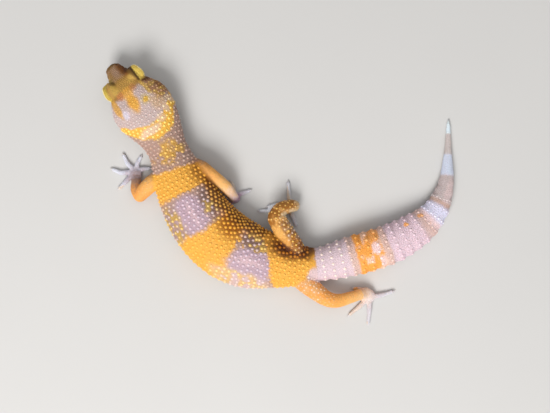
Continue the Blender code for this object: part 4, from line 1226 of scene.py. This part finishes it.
def makeCoat():
    tubercles, granules = seatOnSkin(tubercleRoots()), seatOnSkin(granuleRoots())
    rows, normals = (np.vstack(pair) for pair in zip(tubercles, granules))
    large = np.arange(len(rows)) < len(tubercles[0])
    kept = ~atOpening(rows[:, :3])
    rows, normals, large = rows[kept], normals[kept], large[kept]
    room = np.where(large, rows[:, 6] * coat["tubercleRoom"], rows[:, 6])
    kept = thinOut(rows[:, :3], room, coat["crowd"])
    rows, normals, large = rows[kept], normals[kept], large[kept]
    rows[:, 6:9] *= dice.uniform(*coat["sizes"], (len(rows), 1))
    place, limb = placeOf(rows[:, :3])
    onLimb = limb[:, 2] > 0.5
    made = [layScales("tubercles", domes["tubercle"], rows[large], normals[large], True)]
    parts = {name: ~onLimb & (place[:, 0] >= start) & (place[:, 0] < end)
             for name, (start, end) in coat["regions"].items()}
    parts["scales_limbs"] = onLimb
    for name, chosen in parts.items():
        chosen = chosen & ~large
        made.append(layScales(name, domes["granule"], rows[chosen], normals[chosen]))
    return made


coatPieces = makeCoat()
print("the scales are on")

# Rows of lip scales above and below the line of the mouth, and the scales round the snout's front.
lips = {"first": 1.3, "last": 16.2, "count": 11, "above": 0.66, "below": -0.64,
        "long": 0.74, "tall": 0.40, "height": 0.16, "shrink": 0.25,
        "frontSides": (-0.75, 0.0, 0.75), "frontRows": ((7.62, 0.42), (6.3, 0.36)),
        "frontLong": 0.46, "frontHeight": 0.14}
# The row of scales on the edge of each lid: along it, how far out, and their sizes.
rims = {"count": 19, "reach": 0.97, "upperOut": 0.34, "lowerOut": 0.26, "lean": 0.3,
        "long": 0.28, "wide": 0.34, "height": 0.30, "lowerSize": 0.8}


def castScale(found, origin, toward, ahead, sizes, lean=(0.0, 0.0, 0.0)):
    spot, normal, _, _ = skinTree.ray_cast(Vector(origin) * mm, Vector(toward))
    if spot is not None:
        found.append((np.concatenate([np.array(spot) / mm, ahead, sizes]), np.array(normal) + lean))


def layFound(name, found):
    rows, normals = (np.array(part) for part in zip(*found))
    return layScales(name, domes["tubercle"], rows, normals)


def makeLips():
    found = []
    places = np.linspace(lips["first"], lips["last"], lips["count"])
    levels = np.interp(places, *np.array(head["mouth"]).T)
    for way in (-1, 1):
        for offset in (lips["above"], lips["below"]):
            for k, (back, level) in enumerate(zip(places, levels)):
                origin = fromHead([(back, way * 20.0, level + offset)])[0]
                shrink = 1.0 - lips["shrink"] * k / len(places)
                sizes = (lips["long"], lips["tall"] * shrink, lips["height"] * shrink)
                castScale(found, origin, -way * headAxes[1], headAxes[0], sizes)
    for side in lips["frontSides"]:
        for level, tall in lips["frontRows"]:
            origin = fromHead([(-8.0, side, level)])[0]
            castScale(found, origin, headAxes[0], headAxes[1], (lips["frontLong"], tall, lips["frontHeight"]))
    return layFound("lip_scales", found)


def makeRims():
    found = []
    half, high = head["opening"] / 2, head["openingHeight"] / 2
    for way in (-1, 1):
        axes = eyeAxes(way)
        for sign, out, size in ((1, rims["upperOut"], 1.0), (-1, rims["lowerOut"], rims["lowerSize"])):
            for share in np.linspace(-rims["reach"], rims["reach"], rims["count"]):
                u, v = share * half, sign * (high * (1 - share**2) + out)
                origin = fromHead([onSide("eye", way) + (u * axes[0] + v * axes[1] + 8.0 * axes[2])])[0]
                sizes = (rims["long"] * size, rims["wide"] * size, rims["height"] * size)
                lean = (axes[2] + axes[1] * sign * rims["lean"]) @ headAxes
                castScale(found, origin, -(axes[2] @ headAxes), axes[0] @ headAxes, sizes, lean)
    return layFound("lid_rims", found)


lipPiece, rimPiece = makeLips(), makeRims()

eyeBall = {"segments": 56, "rings": 40, "bulge": 0.16, "bulgeFrom": (0.80, 0.97)}


def makeEye(way, name):
    eye = addBall(name, eyeBall["segments"], eyeBall["rings"])
    ball = readPoints(eye)
    bulge = eyeBall["bulge"] * ease(*eyeBall["bulgeFrom"], ball[:, 2])
    axes = eyeAxes(way)
    turned = (ball * (head["eyeRadius"] + bulge[:, None])) @ axes
    writePoints(eye, fromHead(turned + onSide("eye", way)) * mm)
    if np.linalg.det(axes) < 0:
        eye.data.flip_normals()
    addAttribute(eye, "gaze", ball)
    eye.data.shade_smooth()
    return eye


# From under the tip of each digit to the point: place past the tip, level, half width, half height.
clawRows = [
    (-0.30, 0.80, 0.286, 0.312), (0.483, 0.84, 0.195, 0.247),
    (0.943, 0.56, 0.1092, 0.13), (1.15, 0.24, 0.05, 0.05),
]


def makeClaws():
    made = []
    for limb in limbs.values():
        for knuckle, tip in limb["toes"]:
            ahead = unit(np.array(tip) - np.array(knuckle))
            rows = [(*(tip + ahead * past), *sizes) for past, *sizes in clawRows]
            made.append(makeTube("claw", rows, 0.0, 12, 18, (0.05, 0.05)))
    claws = joinPieces("claws", made)
    claws.data.shade_smooth()
    return claws


eyeLeft, eyeRight, claws = makeEye(-1, "eyeball_left"), makeEye(1, "eyeball_right"), makeClaws()
for piece in coatPieces + [lipPiece, rimPiece]:
    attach(piece, "root")
for piece, node in ((eyeLeft, "eye_left"), (eyeRight, "eye_right")):
    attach(piece, "root")
    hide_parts(node)
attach(claws, "root")
print("eyes and claws are in")


def addNode(tree, kind, inputs=None, **settings):
    node = tree.nodes.new("ShaderNode" + kind)
    for key, value in settings.items():
        setattr(node, key, value)
    for key, value in (inputs or {}).items():
        if isinstance(value, bpy.types.NodeSocket):
            tree.links.new(value, node.inputs[key])
        elif isinstance(value, np.ndarray):  # a colour
            node.inputs[key].default_value = (*value, 1.0)
        else:
            node.inputs[key].default_value = value
    return node


def mathNode(tree, operation, first, second=0.0, third=0.0):
    return addNode(tree, "Math", {0: first, 1: second, 2: third}, operation=operation).outputs[0]


def vectorNode(tree, operation, first, second=(0, 0, 0)):
    return addNode(tree, "VectorMath", {0: first, 1: second}, operation=operation).outputs[0]


def rampNode(tree, value, low, high, smooth=True):
    kind = "SMOOTHSTEP" if smooth else "LINEAR"
    return addNode(tree, "MapRange", {0: value, 1: low, 2: high}, interpolation_type=kind).outputs[0]


def mixNode(tree, factor, first, second, blend="MIX"):
    node = addNode(tree, "Mix", {0: factor, 6: first, 7: second}, data_type="RGBA", blend_type=blend)
    return node.outputs[2]


def newMaterial(name, roughness, **sockets):
    made = bpy.data.materials.new(name)
    made.use_nodes = True
    shader = made.node_tree.nodes["Principled BSDF"]
    shader.inputs["Roughness"].default_value = roughness
    for key, value in sockets.items():
        shader.inputs[key.replace("_", " ")].default_value = value
    return made, made.node_tree, shader


def shadeNode(tree, colour, shade):  # a grey multiplied over the colour
    grey = addNode(tree, "CombineColor", {0: shade, 1: shade, 2: shade}).outputs[0]
    return mixNode(tree, 1.0, colour, grey, "MULTIPLY")


def addRelief(tree, shader, height, strength, distance):
    bump = addNode(tree, "Bump", {"Strength": strength, "Distance": distance, "Height": height})
    tree.links.new(bump.outputs[0], shader.inputs["Normal"])


def noiseNode(tree, where, scale, detail, **inputs):
    return addNode(tree, "TexNoise", {"Vector": where, "Scale": scale, "Detail": detail, **inputs}).outputs[0]


def attributeNode(tree, name, output="Vector"):
    return addNode(tree, "Attribute", attribute_name=name).outputs[output]


def skinMaterial():
    made, tree, shader = newMaterial("geckoSkin", 0.52, Specular_IOR_Level=0.35, Subsurface_Weight=0.12,
                                     Subsurface_Radius=(1.0, 0.45, 0.3), Subsurface_Scale=0.0008)
    where = addNode(tree, "TexCoord").outputs["Object"]
    cells = addNode(tree, "TexVoronoi", {"Vector": where, "Scale": 2300.0, "Randomness": 0.8})
    gaps = rampNode(tree, cells.outputs["Distance"], 0.25, 0.62)
    cloud = noiseNode(tree, where, 900.0, 3.0)
    dark = mathNode(tree, "MULTIPLY", gaps, 0.20)
    colour = mixNode(tree, dark, attributeNode(tree, "paint", "Color"), (0.10, 0.05, 0.03, 1.0))
    colour = shadeNode(tree, colour, addNode(tree, "MapRange", {0: cloud, 3: 0.92, 4: 1.06}).outputs[0])
    tree.links.new(colour, shader.inputs["Base Color"])
    height = mathNode(tree, "MULTIPLY_ADD", gaps, -1.0, mathNode(tree, "MULTIPLY", cloud, 0.4))
    addRelief(tree, shader, height, 0.5, 0.00012)
    return made


def scaleMaterial(name, lift, roughness):
    made, tree, shader = newMaterial(name, roughness, Specular_IOR_Level=0.3, Subsurface_Weight=0.10,
                                     Subsurface_Radius=(1.0, 0.45, 0.3), Subsurface_Scale=0.0006)
    parts = addNode(tree, "SeparateXYZ", {0: attributeNode(tree, "scale")})
    tone, rise = parts.outputs[0], parts.outputs[1]
    base, tip = attributeNode(tree, "paint", "Color"), attributeNode(tree, "tip", "Color")
    colour = mixNode(tree, rampNode(tree, rise, 0.05, 0.6), base, tip)
    # Painted shade and highlight: each scale is darker towards its foot and lighter on its top by the lift.
    low = addNode(tree, "MapRange", {0: rise, 3: 0.87, 4: 1.0 + lift}).outputs[0]
    each = addNode(tree, "MapRange", {0: tone, 3: 0.94, 4: 1.05}).outputs[0]
    colour = shadeNode(tree, colour, mathNode(tree, "MULTIPLY", low, each))
    tree.links.new(colour, shader.inputs["Base Color"])
    where = addNode(tree, "TexCoord").outputs["Object"]
    addRelief(tree, shader, noiseNode(tree, where, 6000.0, 2.0), 0.25, 0.00005)
    return made


def rimMaterial():
    made, tree, shader = newMaterial("lidRim", 0.45, Specular_IOR_Level=0.4, Subsurface_Weight=0.12,
                                     Subsurface_Radius=(1.0, 0.5, 0.3), Subsurface_Scale=0.0006)
    parts = addNode(tree, "SeparateXYZ", {0: attributeNode(tree, "scale")})
    colour = mixNode(tree, parts.outputs[0], screen((232, 208, 112)), screen((246, 232, 168)))
    # Painted shade: darker brown towards the foot of each rim scale.
    colour = mixNode(tree, rampNode(tree, parts.outputs[1], 0.5, 0.0), colour, screen((170, 132, 78)))
    tree.links.new(colour, shader.inputs["Base Color"])
    return made


def eyeMaterial():
    made, tree, shader = newMaterial("eye", 0.12, Specular_IOR_Level=0.6,
                                     Coat_Weight=1.0, Coat_Roughness=0.02)
    gaze = attributeNode(tree, "gaze")
    parts = addNode(tree, "SeparateXYZ", {0: gaze})
    u, v = parts.outputs[0], parts.outputs[1]
    flat = vectorNode(tree, "MULTIPLY", gaze, (1, 1, 0))
    radius = addNode(tree, "VectorMath", {0: flat}, operation="LENGTH").outputs["Value"]
    ray = mathNode(tree, "MULTIPLY", mathNode(tree, "ARCTAN2", v, u), 3.0)
    outward = mathNode(tree, "MULTIPLY", radius, 2.6)
    veinAt = addNode(tree, "CombineXYZ", {0: ray, 1: outward, 2: 0.0}).outputs[0]
    veins = noiseNode(tree, veinAt, 3.2, 5.0, Roughness=0.65)
    iris = mixNode(tree, rampNode(tree, veins, 0.38, 0.62), screen((214, 184, 168)), screen((150, 104, 84)))
    iris = mixNode(tree, rampNode(tree, radius, 0.62, 0.95), iris, screen((96, 62, 48)))
    wave = mathNode(tree, "SINE", mathNode(tree, "MULTIPLY", v, 34.0))  # the slit's notched edge
    reach = mathNode(tree, "ABSOLUTE", mathNode(tree, "DIVIDE", v, 0.50))
    taper = mathNode(tree, "SUBTRACT", 1.0, mathNode(tree, "POWER", reach, 2.0))
    width = mathNode(tree, "MULTIPLY", taper, mathNode(tree, "MULTIPLY_ADD", wave, 0.018, 0.075))
    gap = mathNode(tree, "SUBTRACT", mathNode(tree, "ABSOLUTE", u), width)
    iris = mixNode(tree, rampNode(tree, gap, 0.05, 0.0), iris, screen((232, 206, 180)))
    colour = mixNode(tree, rampNode(tree, gap, 0.012, -0.012), iris, screen((52, 16, 12)))
    tree.links.new(colour, shader.inputs["Base Color"])
    return made


def clawMaterial():
    made, tree, shader = newMaterial("claw", 0.3, Specular_IOR_Level=0.5)
    where = addNode(tree, "TexCoord").outputs["Object"]
    grain = noiseNode(tree, where, 2500.0, 2.0)
    height = addNode(tree, "SeparateXYZ", {0: where}).outputs[2]
    colour = mixNode(tree, grain, screen((226, 222, 226)), screen((204, 196, 200)))
    colour = mixNode(tree, rampNode(tree, height, 0.0008, 0.0002), colour, screen((150, 132, 128)))
    tree.links.new(colour, shader.inputs["Base Color"])
    return made


def dress(pieces, material):
    for piece in pieces:
        piece.data.materials.clear()
        piece.data.materials.append(material)


tubercles, *granules = coatPieces
dress([skin], skinMaterial())
# The second number is the lift, the painted highlight on each scale's top.
dress(granules + [lipPiece], scaleMaterial("smallScales", 0.10, 0.6))
dress([tubercles], scaleMaterial("largeScales", 0.03, 0.5))
dress([rimPiece], rimMaterial())
dress([eyeLeft, eyeRight], eyeMaterial())
dress([claws], clawMaterial())
print("the colours are on")

stage = {
    "floor": (204, 204, 204), "floorSize": 3.0,
    "key": {"at": (-0.20, -0.58, 0.70), "size": 0.45, "power": 8.9, "colour": (1.0, 0.975, 0.94)},
    "top": {"at": (0.05, 0.0, 0.95), "size": 1.0, "power": 2.4, "colour": (1.0, 0.99, 0.97)},
    "fill": {"at": (0.6, 0.5, 0.5), "size": 0.8, "power": 0.4, "colour": (1.0, 0.95, 0.90)},
    "world": 0.29, "sky": (1.0, 0.985, 0.97, 1.0),
    "camera": (-2.0, -3.94, 330.0), "view": 213.4,  # millimetres, and the width seen on the floor
}


def makeStage():
    deselectAll()
    bpy.ops.mesh.primitive_plane_add(size=stage["floorSize"], location=(0, 0, 0))
    floor = bpy.context.object
    floor.name = "floor"
    made, tree, shader = newMaterial("floorPaint", 0.8, Specular_IOR_Level=0.2)
    where = addNode(tree, "TexCoord").outputs["Object"]
    cloud = noiseNode(tree, where, 14.0, 3.0)
    light, dim = screen(stage["floor"]), screen(np.array(stage["floor"]) - 4)
    tree.links.new(mixNode(tree, cloud, light, dim), shader.inputs["Base Color"])
    floor.data.materials.append(made)
    for name in ("key", "top", "fill"):
        lamp = stage[name]
        data = bpy.data.lights.new(name, "AREA")
        data.energy, data.size, data.color = lamp["power"], lamp["size"], lamp["colour"]
        obj = bpy.data.objects.new(name, data)
        obj.location = lamp["at"]
        obj.rotation_euler = Vector(lamp["at"]).to_track_quat("Z", "Y").to_euler()
        bpy.context.scene.collection.objects.link(obj)
    world = bpy.data.worlds.new("studio")
    world.use_nodes = True
    background = world.node_tree.nodes["Background"].inputs
    background["Color"].default_value, background["Strength"].default_value = stage["sky"], stage["world"]
    bpy.context.scene.world = world
    data = bpy.data.cameras.new("camera")
    camera = bpy.data.objects.new("camera", data)
    camera.location = Vector(stage["camera"]) * mm
    data.sensor_width = 36.0
    data.lens = 36.0 * stage["camera"][2] / stage["view"]
    data.clip_start, data.clip_end = 0.01, 20.0
    bpy.context.scene.collection.objects.link(camera)
    bpy.context.scene.camera = camera
    bpy.context.scene.view_settings.view_transform = "Standard"


makeStage()
print("the stage is set")
